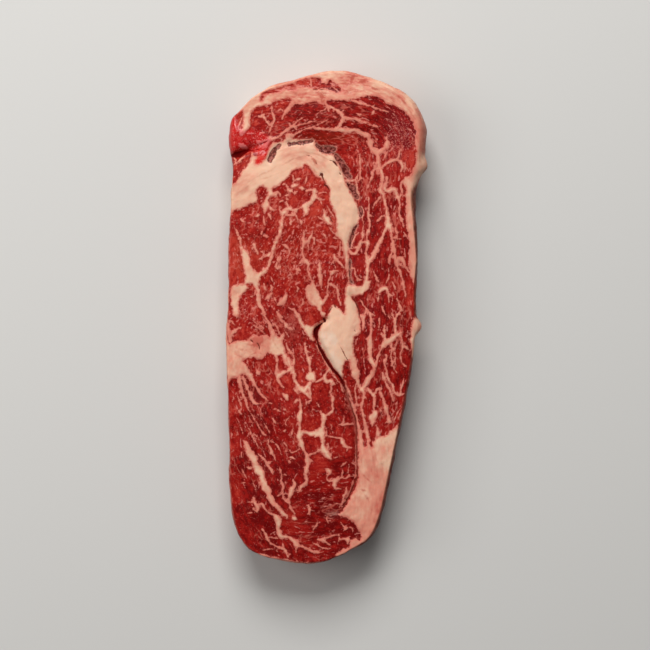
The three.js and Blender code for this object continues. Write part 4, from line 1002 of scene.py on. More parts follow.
SPURS = grow_spurs(VEINS, seed=7)
print("spurs:", len(SPURS))

# %% [markdown]
# ## How the meat changes from place to place
#
# Broad changes, such as the direction of the fibres, how thick the small flecks lie and how dark
# the lean meat is, are set at a few stations. Between them, each place takes the average of the
# stations, weighted by one over the fourth power of the distance.

# %% Stations on the cut face
# x, y, fibre angle in degrees, density of flecks, tone of the lean (0 dark, 1 bright)
FLESH = [
    (-38, 86, 80, 0.1, 0.8), (-37, 78, 20, 0, 0.7), (-30, 88, 60, 0.6, 0.5),
    (-22, 88, 60, 0.5, 0.4), (-12, 93, 20, 0.45, 0.16), (-8, 86, 20, 0.5, 0.2),
    (3, 90, 10, 0.4, 0.16), (0, 80, 0, 0.25, 0.18), (15, 93, -15, 0.35, 0.22),
    (16, 85, -15, 0.35, 0.16), (25, 90, -25, 0.35, 0.18), (33, 84, -45, 0.7, 0.02),
    (37, 88, -50, 0.2, 0.2), (34, 78, 70, 0.8, 0.06), (37, 72, 80, 0.1, 1),
    (30, 72, 70, 0.6, 0.5), (13, 77, -60, 0.5, 0.35), (15, 70, 85, 1, 0.4),
    (10, 72, -60, 0.3, 0.6), (18, 60, 85, 0.8, 0.38), (30, 64, 80, 0.3, 0.5),
    (22, 48, 85, 0.35, 0.34), (31, 48, 85, 0.6, 0.2), (33, 34, 85, 0.35, 0.28),
    (22, 38, 80, 0.25, 0.27), (14, 34, 80, 0.3, 0.5), (14, 22, 90, 0.3, 0.35),
    (23, 20, 85, 0.4, 0.3), (28, 30, 85, 0.4, 0.3), (37, 10, 90, 0.05, 0.75),
    (32, 8, 95, 0.5, 0.25), (24, 4, 90, 0.45, 0.2), (34, -3, 90, 0.45, 0.22),
    (16, -14, 90, 0.55, 0.27), (24, -18, 90, 0.35, 0.22), (33, -25, 90, 0.25, 0.27),
    (22, -30, 95, 0.3, 0.25), (30, -30, 100, 0.3, 0.27), (18, -38, 100, 0.25, 0.4),
    (10, -38, 110, 0.35, 0.3), (24, -40, 105, 0.5, 0.3), (31, -44, 60, 0.91, 0.41),
    (-36, 44, 20, 0.55, 0.52), (-36, 38, -20, 0.45, 0.42), (-28, 38, 20, 0.5, 0.52),
    (-30, 24, -30, 0.35, 0.72), (-41, 30, 90, 0.5, 0.97), (-40, 20, 90, 0.1, 0.87),
    (-20, 57, 60, 0.3, 0.5), (-12, 63, 60, 0.5, 0.6), (-14, 52.5, 45, 0.12, 0.82),
    (-5, 49.5, 60, 0.05, 0.9), (-4, 60.5, 30, 0.7, 0.85), (-20, 52, 10, 0.8, 0.52),
    (-23.5, 51, 40, 0.85, 0.45), (-19.8, 49, 0, 0.15, 0.6), (-9.3, 54, 60, 0.3, 0.5),
    (-23, 44.5, 60, 0.1, 0.62), (-1.3, 53.5, 0, 0.15, 0.8), (-17, 60, 50, 0.2, 0.45),
    (-12, 60, 60, 0.3, 0.5), (-15, 41, 60, 0.95, 0.57), (-5, 38, -20, 0.9, 0.67),
    (0, 31, -10, 0.8, 0.67), (-17, 25, 60, 0.82, 0.55), (-25, 36, 60, 0.6, 0.52),
    (-14, 30, 60, 0.85, 0.55), (-5, 26, 60, 0.9, 0.62), (4, 17, 80, 0.4, 0.47),
    (-22, 12, 60, 0.55, 0.51), (-14, 16, 50, 0.6, 0.54), (-35, 5, 30, 0.7, 0.56),
    (-36, -5, 40, 0.4, 0.6), (-31, -5, -28, 0.9, 0.45), (-28, -5, 120, 0.4, 0.26),
    (-24, 3, 115, 0.6, 0.46), (-15, -4, 115, 0.35, 0.38), (-12, 5, 110, 0.55, 0.56),
    (-6, 0, 110, 0.05, 0.71), (-13, -15, 105, 0.45, 0.41), (-6, -18, 110, 0.35, 0.46),
    (-12, -24, 100, 0.15, 0.61), (-28, -23, 110, 0.5, 0.46), (-22, -21, 100, 0.3, 0.51),
    (-19, -30, 100, 0.1, 0.71), (-26, -33, 120, 0.35, 0.46), (-4, -25, 100, 0.3, 0.56),
    (4, -36, 110, 0.3, 0.35), (-4, -34, 100, 0.15, 0.56), (-40, -40, 115, 0.45, 0.6),
    (-33, -35, 115, 0.08, 0.04), (-34, -46, 115, 0.3, 0.14), (-27, -46, 115, 0.3, 0.14),
    (-20, -45, 110, 0.3, 0.4), (-18, -56, 115, 0.32, 0.38), (-6, -42, 20, 0.4, 0.33),
    (-7, -48, 0, 0, 0.56), (6, -42, 100, 0.11, 0.26), (6, -52, 90, 0.21, 0.41),
    (9, -56, 90, 0, 0.56), (-6, -57, 0, 0.01, 0.46), (3, -60, 45, 0.4, 0.34),
    (6, -68, 90, 0.1, 0.19), (9, -76, 0, 0.05, 0.34), (-4, -67, 0, 0, 0.69),
    (-4, -73, 0, 0.25, 0.44), (0, -83, 5, 0.35, -0.1), (2, -87, 5, 0.3, -0.05),
    (-8, -84, 10, 0.4, 0.14), (-12, -72, 70, 0.15, 0.16), (-15, -68, 80, 0.05, 0.08),
    (-24, -66, 115, 0.08, 0.2), (-30, -58, 115, 0.34, 0.2), (-37, -64, 110, 0.25, 0.06),
    (-41, -60, 95, 0.2, 0.64), (-41, -78, 95, 0.2, 0.64), (-34, -78, 110, 0.15, 0.14),
    (-37, -90, 100, 0, 0.19), (-32, -94, 90, 0, 0.05), (-26, -92, 45, 0, 0.05),
    (-30, -102, 60, 0.05, 0.19), (-26, -107, 10, 0, 0.14), (-24, -98, 30, 0.2, 0.14),
    (-14, -97, -10, 0.2, 0.5), (-11, -90, 0, 0.25, 0.24), (-5, -97, 0, 0.22, 0.04),
    (-8, -101, 0, 0.1, 0.3), (4, -95, 10, 0.1, 0.04), (10, -98, 30, 0.1, 0),
    (3, -103, 0, 0.25, 0.09), (-3, -108, 0, 0.2, 0.29), (-14, -108, 0, 0, 0.19),
    (-18, -93, 0, 0.05, 0.54), (-37, -100, 60, 0, 0.39), (-24, 101, 20, 1, 0.8),
    (-17, 103, 10, 1, 0.8), (-8, 105, 0, 0.6, 0.7), (2, 103.7, -20, 0.5, 0.25),
    (-12, 105.3, 0, 0.9, 1),
]
# x, y, tone of the fat (0 pink, 1 cream)
FAT_TONE = [
    (-38, 54, 0.72), (-25, 65, 0.95), (-10, 72, 0.6), (3, 62, 0.85), (8, 48, 1), (8, 35, 0.7),
    (9, 22, 0.55), (5, -5, 0.85), (8, -10, 0.7), (2, -12, 1.3), (5, -20, 1.35), (12, -22, 0.5),
    (13, 11, 0.85), (18, -60, 0.3), (25, -58, 0.45), (27, -66, 0.55), (16, -66, 0.45),
    (21, -72, 0.1), (16, -78.5, 0.2), (18, -84, 0.3), (24, -85, -0.1), (22, -90, 0),
    (14, -86, 0.35), (17, -96, 0.15), (-36, -15, 0.45), (-41, -22, 0.5), (-31, -11.6, -0.6),
    (-29.4, -15.8, 0.3), (-27, -12.5, 0.3), (-28.7, -13.5, 0), (-23, -13, 0.75), (-41, -15, 0.5),
    (-34, 18, 0.8), (-41, 5, 0.55), (-36, 95, 0.65), (-36, 87, 0.7), (-28, 98, 0.55),
    (-22, 99.5, 0.4), (-14, 101, 0.05), (-10, 99.5, -0.05), (-4, 98, 0.05), (5, 98.5, 0.6),
    (-8, 101.5, 0.45), (-20, 103.5, 0.2), (-8, 108.2, 0.4), (1, 108, 0.45), (6, 110, 0.5),
    (8, 105.5, -0.05), (13, 106, -0.25), (11, 102.5, 0.1), (17, 104.5, -0.05), (17, 100.8, 0.35),
    (21.5, 103.6, 0.4), (26, 101.5, 0.35), (24, 105, 0.5), (30, 97, 0.2), (33.5, 97, 0.15),
    (38.5, 92, 0.3), (37, 98, 0.45), (32, 101.5, 0.45), (40, 90, 0.1), (41, 80, -0.2),
    (43, 68, 0.6), (36, 60, 0.5), (37, 50, 0.45), (38, 30, 0.3), (40, -6, 0.6), (38, -12, 0.7),
    (-32, -68, 0.5), (-12, -52, 0.7), (-3, -53, 0.7), (20, -12, 0.3), (27, -11, 0.6),
    (-21, -95, 0.6), (-7, 10, 0.35), (-7, -28, 0.8),
]
STATION_POWER = 4
STATION_CORE = 0.5  # mm added to each distance, so no station has a sharp peak


def from_stations(places, stations):
    """The stations' values, averaged with weights of one over distance to the station power."""
    total, weights = 0, 0
    for x, y, *values in stations:
        away = np.hypot(places[:, 0] - x, places[:, 1] - y)
        weight = 1 / (away + STATION_CORE) ** STATION_POWER
        weights = weights + weight
        total = total + weight[:, None] * np.array(values)
    return total / weights[:, None]


def flesh_columns(*columns):
    """x, y and the wanted columns of FLESH: 3 is the density of flecks, 4 the tone of the lean."""
    return [(row[0], row[1], *(row[k] for k in columns)) for row in FLESH]


# %% Fibre angle
def fibre_angle(places):
    """Angles are averaged as doubled directions, because a fibre has no front or back."""
    doubles = [(x, y, math.radians(2 * angle)) for x, y, angle, *_ in FLESH]
    doubled = from_stations(places, [(x, y, math.cos(a), math.sin(a)) for x, y, a in doubles])
    return 0.5 * np.arctan2(doubled[:, 1], doubled[:, 0])


# %% [markdown]
# The lean meat also has a fine pattern that runs with its fibres. In the cap, round the outside,
# the fibres follow the cap's long bend. In the eye, the large inner muscle, they bow round a far
# point on the right, and at its lower right they lie across. Each place gets two coordinates: one
# along the fibres, shortened so that a pattern drawn on it comes out long, and one across them.

# %% Fibre coordinates
CAP_LINE = [(-44, 82), (-36, 90), (-20, 92), (5, 91), (20, 88), (28, 80), (30, 68), (28, 40),
            (27, 10), (23, -25), (19, -50), (20, -80), (15, -112)]
CRESCENT_LINE = [(-50, 50), (-32, 62), (-15, 72), (-4, 69), (5, 58), (8, 45), (7, 30), (10, 10),
                 (4, -8), (4, -22), (12, -30)]
EYE_BORDER = [
    (-60, 73), (-41, 74), (-28, 78), (-17, 80), (-5, 77), (4, 71), (9, 61), (14, 52), (13, 41),
    (9.6, 30), (10, 14), (14, 5), (15, -5), (12, -12), (12.5, -18), (14, -28), (9, -35), (13, -47),
    (13.7, -60), (13.5, -74), (8, -85), (5, -89.5), (12, -93), (16, -100), (20, -130), (-60, -130),
]
ACROSS_BORDER = [
    (-9, -62.5), (-2, -60.5), (1, -64), (14, -66), (14, -78), (6, -89), (12, -93), (17, -101),
    (8, -108), (-12, -105), (-21, -98), (-22, -91), (-16, -87), (-17, -81), (-12.5, -79),
    (-9.4, -74), (-9.9, -71), (-8.4, -67),
]
EYE_CENTRE = (112, -10)
EYE_RADIUS = 148
CAP_STRETCH = 2.6
EYE_STRETCH = 1.6
LINE_STEPS = 6
FAT_APART = (0, 300)  # mm that a pattern is moved, so it doesn't match its neighbour's
EYE_APART = (0, 200)
ACROSS_APART = (0, 500)


def line_coordinates(places, line):
    """Distance along a line to the point of it nearest to each place, shortened by the cap's
    stretch, and the distance from it, positive on its left."""
    curve = smooth_curve(line, False, LINE_STEPS)
    pick, t, _, side = nearest_step(places, curve)
    travelled = distance_along(curve)
    along = travelled[pick] + t * np.diff(travelled)[pick]
    return np.stack([along / CAP_STRETCH, side], 1)


def fibre_coordinates(places):
    """Along and across the fibres, the first divided by the stretch of its muscle."""
    along = line_coordinates(places, CAP_LINE)
    in_fat = border_field(places, [CRESCENT, KERNEL])[:, None] > 0
    along = np.where(in_fat, line_coordinates(places, CRESCENT_LINE) + FAT_APART, along)
    spoke = places - EYE_CENTRE
    turned = np.arctan2(spoke[:, 1], -spoke[:, 0])
    bow = np.stack([turned * EYE_RADIUS / EYE_STRETCH, np.linalg.norm(spoke, axis=1)], 1)
    in_eye = (border_field(places, [EYE_BORDER])[:, None] > 0) & ~in_fat
    along = np.where(in_eye, bow + EYE_APART, along)
    across = border_field(places, [ACROSS_BORDER])[:, None] > 0
    return np.where(across, places / (CAP_STRETCH, 1) + ACROSS_APART, along)


# %% [markdown]
# ## Small flecks
#
# Between the veins lie hundreds of small flecks, short dashes that follow the fibres. They are
# scattered one to a cell of a loose grid, each moved at random inside its cell. A point only has
# to look at its own cell and the eight around it.

# %% Scattered flecks
FLECK_LAYERS = [  # cell size, longest half length, thickest half width, seed, share of cells
    (3.2, 0.9, 0.42, 11, 0.55),
    (1.8, 0.45, 0.26, 23, 0.55),
]
FLECK_MARGIN = 0.15  # share of a cell, at each side, that a fleck's middle keeps clear of
FLECK_TURN = 0.7  # radians over which its direction strays
SHORTEST_FLECK = 0.35  # as a share of the longest
THINNEST_FLECK = 0.5  # as a share of the thickest
SPARSE_FLECK = 0.7  # how thick flecks are where there are few, as a share
FLECK_TAPER = 0.5  # how much thinner its ends are than its middle
LONGER = 1.2  # how much longer the flecks are in the lower part of the eye and in the end muscle
THINNER = 0.4  # and how much thinner, for each time that they are longer


def fleck_shapes(cells, layer):
    """Middle, direction, half length, half width and whether it shows, of each cell's fleck."""
    size, longest, thickest, seed, share = layer
    chance = [lattice(cells, seed + k) for k in range(6)]
    middle = (cells + FLECK_MARGIN + (1 - 2 * FLECK_MARGIN) * np.stack(chance[:2], 1)) * size
    density = from_stations(middle, flesh_columns(3))[:, 0]
    angle = fibre_angle(middle) + FLECK_TURN * (chance[2] - 0.5)
    north = middle[:, 1]
    drawn = LONGER * (smoothstep(-38, -48, north) + smoothstep(80, 86, north))
    length = longest * (1 + drawn) * (SHORTEST_FLECK + (1 - SHORTEST_FLECK) * chance[4])
    width = thickest * (THINNEST_FLECK + (1 - THINNEST_FLECK) * chance[5])
    width = width * (SPARSE_FLECK + (1 - SPARSE_FLECK) * density) * (1 - THINNER * drawn)
    along = np.stack([np.cos(angle), np.sin(angle)], 1)
    return middle, along, length, width, chance[3] < share * density


def fleck_field(places):
    """The three values of the fleck that each place lies deepest in."""
    deepest = Deepest(len(places), REACH)
    for layer in FLECK_LAYERS:
        home = np.floor(places / layer[0])
        for shift in np.ndindex(3, 3):
            cells, cell = np.unique(home + np.array(shift) - 1, axis=0, return_inverse=True)
            shapes = fleck_shapes(cells, layer)
            middle, along, length, width, shown = (values[cell.ravel()] for values in shapes)
            offset = places - middle
            t = np.clip(np.sum(offset * along, 1), -length, length)
            gap = np.linalg.norm(offset - t[:, None] * along, axis=1)
            turn = along[:, 0] * offset[:, 1] - along[:, 1] * offset[:, 0]
            width = width * (1 - FLECK_TAPER * (t / length) ** 2)
            rows = np.flatnonzero(shown)
            deepest.offer(rows, gap[rows], (np.sign(turn) * gap)[rows], width[rows])
    return deepest.values


# %% [markdown]
# ## The form of the steak
#
# The cut face is a Coons patch: a grid that blends the four edges of the rim, so its lines run
# with the outline. Its height adds low domes for the muscles and grooves for the seams. Below the
# rim the wall follows a section: an elliptic shoulder, a side that tucks in, and a round foot. The
# underside closes the body with a coarser grid, joined to the foot by a ring of triangles.

# %% Domes and grooves
DOME_HEIGHT = 1.6
DOME_REACH = 1.25
DOMES = [  # x, y, half size across, half size along, rise
    (-18, 34, 24, 44, 1.1), (-14, -62, 26, 42, 1.3), (27, 4, 11, 60, 0.9), (6, 93, 36, 12, 1.1),
    (-39.5, 81, 6.5, 7, 1.6), (6, -10, 7.5, 15, 1.1), (-36, 57, 9, 10, 0.7), (21, -76, 8, 24, 0.6),
]
GROOVES = [  # depth at the start, middle and end, width, path
    ((1.8, 1.4, 0.4), 1.3, [
        (0, -1.5), (-4, -5), (-4.4, -9.5), (-1.5, -16), (3, -24), (7, -30), (9.5, -38),
        (12.3, -48), (13.4, -58), (13.4, -69), (12, -78), (8.5, -84.5), (3.5, -89)]),
    ((3.2, 2.2, 0.5), 1.5, [(-46, 72.7), (-41, 72.7), (-35, 75), (-29, 77.3)]),
    ((0.5, 0.9, 0.5), 1.8, [
        (-26.5, 70), (-22.5, 76.5), (-16, 78.4), (-7, 78.6), (1, 75), (6, 69.5), (9, 62.5),
        (13.4, 54), (15, 48), (12.6, 40), (10, 32), (10, 22), (11, 15)]),
    ((0.8, 0.9, 0.4), 1.5, [(10.5, 9), (13.6, 4), (15.8, -3)]),
]
NUBS = [  # x, y, how far out, half length along the wall, height, half height
    (43.3, 68, 3.1, 3.8, 22.0, 5.0), (40.6, -4.6, 2.5, 3.4, 23.4, 4.2),
]
FACE_UNEVENNESS = 0.35
WALL_UNEVENNESS = 0.6
THICKNESS = 28.0


def unevenness(x, y, z):
    """Three crossed waves of different length, between -1 and 1."""
    broad = np.sin(x / 7.1 + y / 11.3 + 0.7)
    cross = np.sin(y / 6.3 - x / 9.7 + z / 5.2)
    fine = np.sin(y / 3.4 + z / 3.1 + 2.1)
    return 0.45 * broad + 0.35 * cross + 0.2 * fine


def groove_depth(places, depths, width, path):
    """Depth along the path, times e to the minus squared distance over width."""
    pick, t, gap, _ = nearest_step(places, np.asarray(path, float))
    along = (pick + t) / (len(path) - 1)
    return np.interp(along, (0, 0.5, 1), depths) * np.exp(-((gap / width) ** 2))


def face_height(places):
    """The slab's thickness, plus the domes and the unevenness, less the grooves."""
    x, y = places.T
    height = THICKNESS - DOME_HEIGHT + FACE_UNEVENNESS * unevenness(x, y, 0)
    for cx, cy, across, along, rise in DOMES:
        reach = np.hypot((x - cx) / across, (y - cy) / along)
        height = height + rise * smoothstep(0, 1, DOME_REACH - reach)
    for depths, width, path in GROOVES:
        height = height - groove_depth(places, depths, width, path)
    return height


# %% Grid over a rim
def four_sides(ring, across, along):
    """Bottom, right, top and left of a ring of points or numbers, each from its low end."""
    ring = np.concatenate([ring, ring[:1]])
    first, second, third = across, across + along, 2 * across + along
    bottom, right = ring[: first + 1], ring[first : second + 1]
    return bottom, right, ring[second : third + 1][::-1], ring[third:][::-1]


def coons(rim, across, along):
    """Blend of the rim's bottom, top, left and right points, less the blend of its corners."""
    bottom, right, top, left = four_sides(rim, across, along)
    u = (np.arange(across + 1) / across)[None, :, None]
    v = (np.arange(along + 1) / along)[:, None, None]
    corners = (
        (1 - u) * (1 - v) * bottom[0] + u * (1 - v) * bottom[-1]
        + (1 - u) * v * top[0] + u * v * top[-1]
    )
    return (1 - v) * bottom + v * top + (1 - u) * left[:, None] + u * right[:, None] - corners


def rim_numbered(first_inner, ring, across, along):
    """Vertex numbers of a grid whose rim is the given ring and whose inside starts at a number."""
    index = np.zeros((along + 1, across + 1), int)
    index[1:-1, 1:-1] = first_inner + np.arange((along - 1) * (across - 1)).reshape(along - 1, -1)
    index[0], index[:, -1], index[-1], index[:, 0] = four_sides(ring, across, along)
    return index


def grid_quads(index):
    """Quads between the rows and columns of an array of vertex numbers."""
    corners = [index[:-1, :-1], index[:-1, 1:], index[1:, 1:], index[1:, :-1]]
    return np.stack(corners, -1).reshape(-1, 4)


# %% Section of the wall
RIM_DROP = 1.2
RIM_DROP_PER_SHOULDER = 2.1
UNDERCUT = 1.8
TUCK_POWER = 1.5  # above 1, the side tucks in mostly near the foot
FOOT_RADIUS = 3
SHOULDER_ROWS = 6
WALL_ROWS = 13
FOOT_ROWS = 4


def quarter_turn(rows):
    """Angles up to a right angle, one for each row."""
    return (np.arange(1, rows + 1) / rows * np.pi / 2)[:, None]


def wall_section(shoulder, rim_height):
    """Inset from the outline and height, from the rim down: an ellipse whose half height grows with
    the shoulder, a side that tucks in by the undercut, and a quarter circle at the foot."""
    drop = RIM_DROP + RIM_DROP_PER_SHOULDER * shoulder
    widest = rim_height - drop
    turn = quarter_turn(SHOULDER_ROWS)
    inset = [shoulder * (1 - np.sin(turn))]
    height = [rim_height - drop * (1 - np.cos(turn))]
    share = (np.arange(1, WALL_ROWS + 1) / WALL_ROWS)[:, None]
    inset.append(UNDERCUT * share**TUCK_POWER + 0 * shoulder)
    height.append(widest - (widest - FOOT_RADIUS) * share)
    turn = quarter_turn(FOOT_ROWS)
    inset.append(UNDERCUT + FOOT_RADIUS * (1 - np.cos(turn)) + 0 * shoulder)
    height.append(FOOT_RADIUS * (1 - np.sin(turn)) + 0 * shoulder)
    return np.vstack(inset), np.vstack(height)


def nub_reach(x, y, z):
    """How far the nubs of fat push the wall out, by a Gauss bell along the wall and in height."""
    out = 0
    for nx, ny, reach, length, height, half_height in NUBS:
        along = np.hypot(x - nx, y - ny) / length
        out = out + reach * np.exp(-(along**2) - ((z - height) / half_height) ** 2)
    return out


# %% Points of the closed surface
AROUND = len(loop)
BOTTOM_INSET = 1.3  # mm from the foot's last ring to the coarse grid of the underside


def steak_points():
    """Points of the cut face, its rim first, then of the wall's rings and of the underside."""
    rim = loop[:, :2] - loop_normals * loop[:, 2:]
    top = np.vstack([rim, coons(rim, ACROSS, ALONG)[1:-1, 1:-1].reshape(-1, 2)])
    top = np.c_[top, face_height(top)]
    inset, height = wall_section(loop[:, 2], top[:AROUND, 2])
    x, y = loop[:, 0], loop[:, 1]
    free = np.sin(np.pi * height / THICKNESS)
    out = nub_reach(x, y, height) + WALL_UNEVENNESS * free * unevenness(x, y, height) - inset
    wall = np.stack([x + loop_normals[:, 0] * out, y + loop_normals[:, 1] * out,
                     np.maximum(height, 0)], -1)
    ring = wall[-1, ::2, :2] - loop_normals[::2] * BOTTOM_INSET
    under = np.vstack([ring, coons(ring, ACROSS // 2, ALONG // 2)[1:-1, 1:-1].reshape(-1, 2)])
    return top, wall.reshape(-1, 3), np.c_[under, np.zeros(len(under))]


# %% Faces of the closed surface
def steak_faces(top_count, wall_count):
    """Quads of the cut face, the wall and the underside, and the triangles between the foot's last
    ring and the coarser ring inside it."""
    ring = np.arange(AROUND)
    rings = np.vstack([ring, top_count + np.arange(wall_count).reshape(-1, AROUND)])
    rings = np.c_[rings, rings[:, :1]]
    coarse = top_count + wall_count + np.arange(AROUND // 2)
    under = rim_numbered(coarse[-1] + 1, coarse, ACROSS // 2, ALONG // 2)
    quads = np.vstack([
        grid_quads(rim_numbered(AROUND, ring, ACROSS, ALONG)),
        grid_quads(rings[::-1]),
        grid_quads(under)[:, ::-1],
    ])
    foot, coarse = rings[-1], np.r_[coarse, coarse[:1]]
    start, between, end = foot[:-1:2], foot[1::2], foot[2::2]
    triangles = np.vstack([
        np.stack([between, start, coarse[:-1]], 1),
        np.stack([between, coarse[:-1], coarse[1:]], 1),
        np.stack([end, between, coarse[1:]], 1),
    ])
    return quads, triangles


# %% The closed surface
top, wall, under = steak_points()
vertices = np.vstack([top, wall, under])
quads, triangles = steak_faces(len(top), len(wall))
rows = len(wall) // AROUND
# How deep a point lies below the rim along the section: 0 on the cut face, 1 on the underside
depth = np.r_[np.zeros(len(top)), np.repeat(np.arange(1, rows + 1) / rows, AROUND),
              np.ones(len(under))]
print("vertices:", len(vertices), "triangles:", 2 * len(quads) + len(triangles))

# %% [markdown]
# ## Sides
#
# The cut muscles go on down through the slab, so the wall shows them as upright bands. Outside
# lies a skin of fat in some places and a thin silver film in others. The walls on the right are
# browner: partly a dry crust, partly painted shade. Stations round the outline say which.

# %% Stations round the outline: x, y, fat (-1 lean to 1 fat), film, browning (a dry crust, partly painted shade)
SIDE = [
    (-38.2, -102.6, -0.6, 0.5, 0), (-31, -108, -0.5, 0.8, 0), (-20, -110.2, -0.4, 0.9, 0),
    (-8, -111.6, -0.3, 0.9, 0), (3, -109.8, -0.6, 0.5, 0.2), (9, -107, 0.2, 0.2, 0.3),
    (14, -104, -0.2, 0, 0.6), (22, -97, -0.8, 0, 0.9), (28, -76, -0.8, 0, 0.9),
    (32.5, -54, -0.6, 0, 1), (34, -46, -0.8, 0.1, 0.7), (37, -31, -0.8, 0.2, 0.5),
    (38.5, -20, -0.2, 0.3, 0.5), (39.6, -12, 1, 0, 0.2), (40.6, -4, 1, 0, 0),
    (40.3, 3, -0.5, 0.1, 0.6), (40, 10, -0.7, 0.1, 0.8), (40.5, 18, -0.4, 0.1, 0.8),
    (41, 26, -0.3, 0, 0.8), (40.6, 42, -0.6, 0, 1), (40.7, 54, -0.6, 0, 1),
    (41.6, 61.3, -0.4, 0, 0.9), (42.2, 63.6, 1, 0, 0.1), (42.8, 65.8, 1.6, 0, 0),
    (44.2, 71.5, 1.6, 0, 0), (45, 75, 0.8, 0, 0.5), (45, 84.5, 0.8, 0, 0.45),
    (43.2, 90.5, 0.9, 0, 0.2), (39.6, 97, 1, 0, 0), (33, 102.4, 1, 0, 0),
    (8, 111.2, 0.9, 0, 0), (-14, 107, 0.6, 0, 0), (-26, 103.6, 0.9, 0, 0),
    (-36, 97, 1, 0, 0), (-40.5, 92.3, -0.2, 0.2, 0), (-43.2, 89, -1, 0, 0),
    (-43.6, 75, -1, 0, 0), (-42.7, 69, -0.7, 0.3, 0), (-43.2, 58, 0.8, 0.2, 0),
    (-43.9, 48, 0.8, 0.2, 0), (-44.1, 41, -0.3, 0.6, 0), (-44.5, 24, -0.5, 0.7, 0),
    (-44.7, 12, 0.1, 0.5, 0), (-44.9, 2, 0.2, 0.5, 0), (-45.3, -8, 0.5, 0.3, 0),
    (-45.5, -20, 0.9, 0.1, 0), (-45, -30, 0.3, 0.4, 0), (-44.6, -45, -0.6, 0.7, 0),
    (-44.2, -70, -0.7, 0.7, 0), (-42.4, -92, -0.8, 0.5, 0),
]
SLENDERNESS = 2.4  # how many times longer than wide the steak is


def bearing(places):
    """The direction of each place from the middle, as if the steak were as wide as it is long."""
    return np.arctan2(places[:, 1] / SLENDERNESS, places[:, 0])


def round_the_outline(places):
    """Fat, film and brown crust with painted shade of the nearest stretch of outline, between
    stations.
    """
    stations = np.asarray(SIDE)
    stations = stations[np.argsort(bearing(stations))]
    here, at = bearing(places), bearing(stations)
    return [np.interp(here, at, stations[:, k], period=2 * np.pi) for k in (2, 3, 4)]


# %% [markdown]
# The drawing holds on the cut face. On the way down it drifts a little, so the underside shows the
# same muscles with its own marbling. Noise pushes every border and vein about by a few tenths of a
# millimetre, because nothing in meat has a smooth edge.

# %% Where each look begins and ends, as depth below the rim
WALL_BEGINS = (0.015, 0.1)
BROWNING_AND_SHADE_BEGINS = (0.0, 0.03)
WALL_ENDS = (0.93, 1.0)
FACE_ENDS = (0.02, 0.2)

# %% Noises: size, seed, strength
DRIFT = [(13, 3, 3.0)]
DRIFT_TALL = (1, 1, 1.6)  # heights are stretched by this, so the drift changes faster down them
DRIFT_BELOW = (1.5, -2.0)  # mm that the whole pattern has moved at the underside
BORDER_ROUGHNESS = [(1.8, 55, 0.34)]
VEIN_ROUGHNESS = [(2.4, 51, 0.32), (1.3, 53, 0.16)]
VEIN_SWELLING = [(2.0, 57, 0.4)]
SPOT_SWELLING = [(1.7, 58, 0.35)]
WALL_PATCHES = [(6, 8, 0.7)]
PATCHES_TALL = (1, 1, 0.35)  # heights are shortened by this, so the patches stand upright
SMALL_WALL_PATCHES = [(2.5, 9, 0.35)]
SMALL_PATCHES_TALL = (1, 1, 0.4)


def pushed(points, layers):
    """How far the noises push each place across and along."""
    return np.stack([layered(points, layers), layered(points, layers, 1)], 1)


def bells(points, spots):
    """Sum of Gauss bells: strength times e to the minus squared distance, in reaches."""
    x, y = points[:, 0], points[:, 1]
    return sum(
        strength * np.exp(-(((x - cx) / across) ** 2) - ((y - cy) / along) ** 2)
        for cx, cy, across, along, strength in spots
    )


# %% Depth in the broad fat
WALL_FAT = 2.2  # mm of depth for each unit of a station's fat
WALL_FAT_LIMIT = 3


def fat_region(points, places, side_fat, on_wall):
    """Signed distance to the borders of the broad fat on the cut face, less the lean inside it; on
    the wall what the stations say, made patchy by noise that runs upright."""
    region = border_field(places + pushed(points, BORDER_ROUGHNESS), FAT_BORDERS)
    region = np.minimum(region, -border_field(places, LEAN_BORDERS))
    patchy = side_fat + layered(points * PATCHES_TALL, WALL_PATCHES)
    patchy = patchy + layered(points * SMALL_PATCHES_TALL, SMALL_WALL_PATCHES)
    return (1 - on_wall) * region + on_wall * np.clip(
        WALL_FAT * patchy, -WALL_FAT_LIMIT, WALL_FAT_LIMIT)


# %% Veins on the surface
VEIN_EXTRA = 0.06  # mm added to every half width
THINNER_ON_WALL = 0.6
FINER_BELOW = 0.28  # how much thinner the thin veins are in the lower part


def vein_field(points, places, ragged, on_wall):
    """The veins' three values; the half widths swell and shrink, and thin out down the wall."""
    vein = path_field(places + ragged, VEINS + SPURS)
    half = vein[:, 2]
    finer = FINER_BELOW * smoothstep(-32, -46, points[:, 1]) * smoothstep(0.9, 0.4, half)
    swollen = (half + VEIN_EXTRA) * (1 + layered(places, VEIN_SWELLING))
    vein[:, 2] = swollen * (1 - THINNER_ON_WALL * on_wall) * (1 - finer)
    return vein


# %% Fields of the whole surface
CRACK_RAGGED = 0.4  # how ragged cracks are, as a share of the veins
SPOT_RAGGED = 0.5  # the same for grey spots and traces
CRACK_FADE = 3  # mm of half width that a crack loses from the rim to the underside
WET_FADE = 10  # mm that the depth in wet meat loses from the cut face to the underside


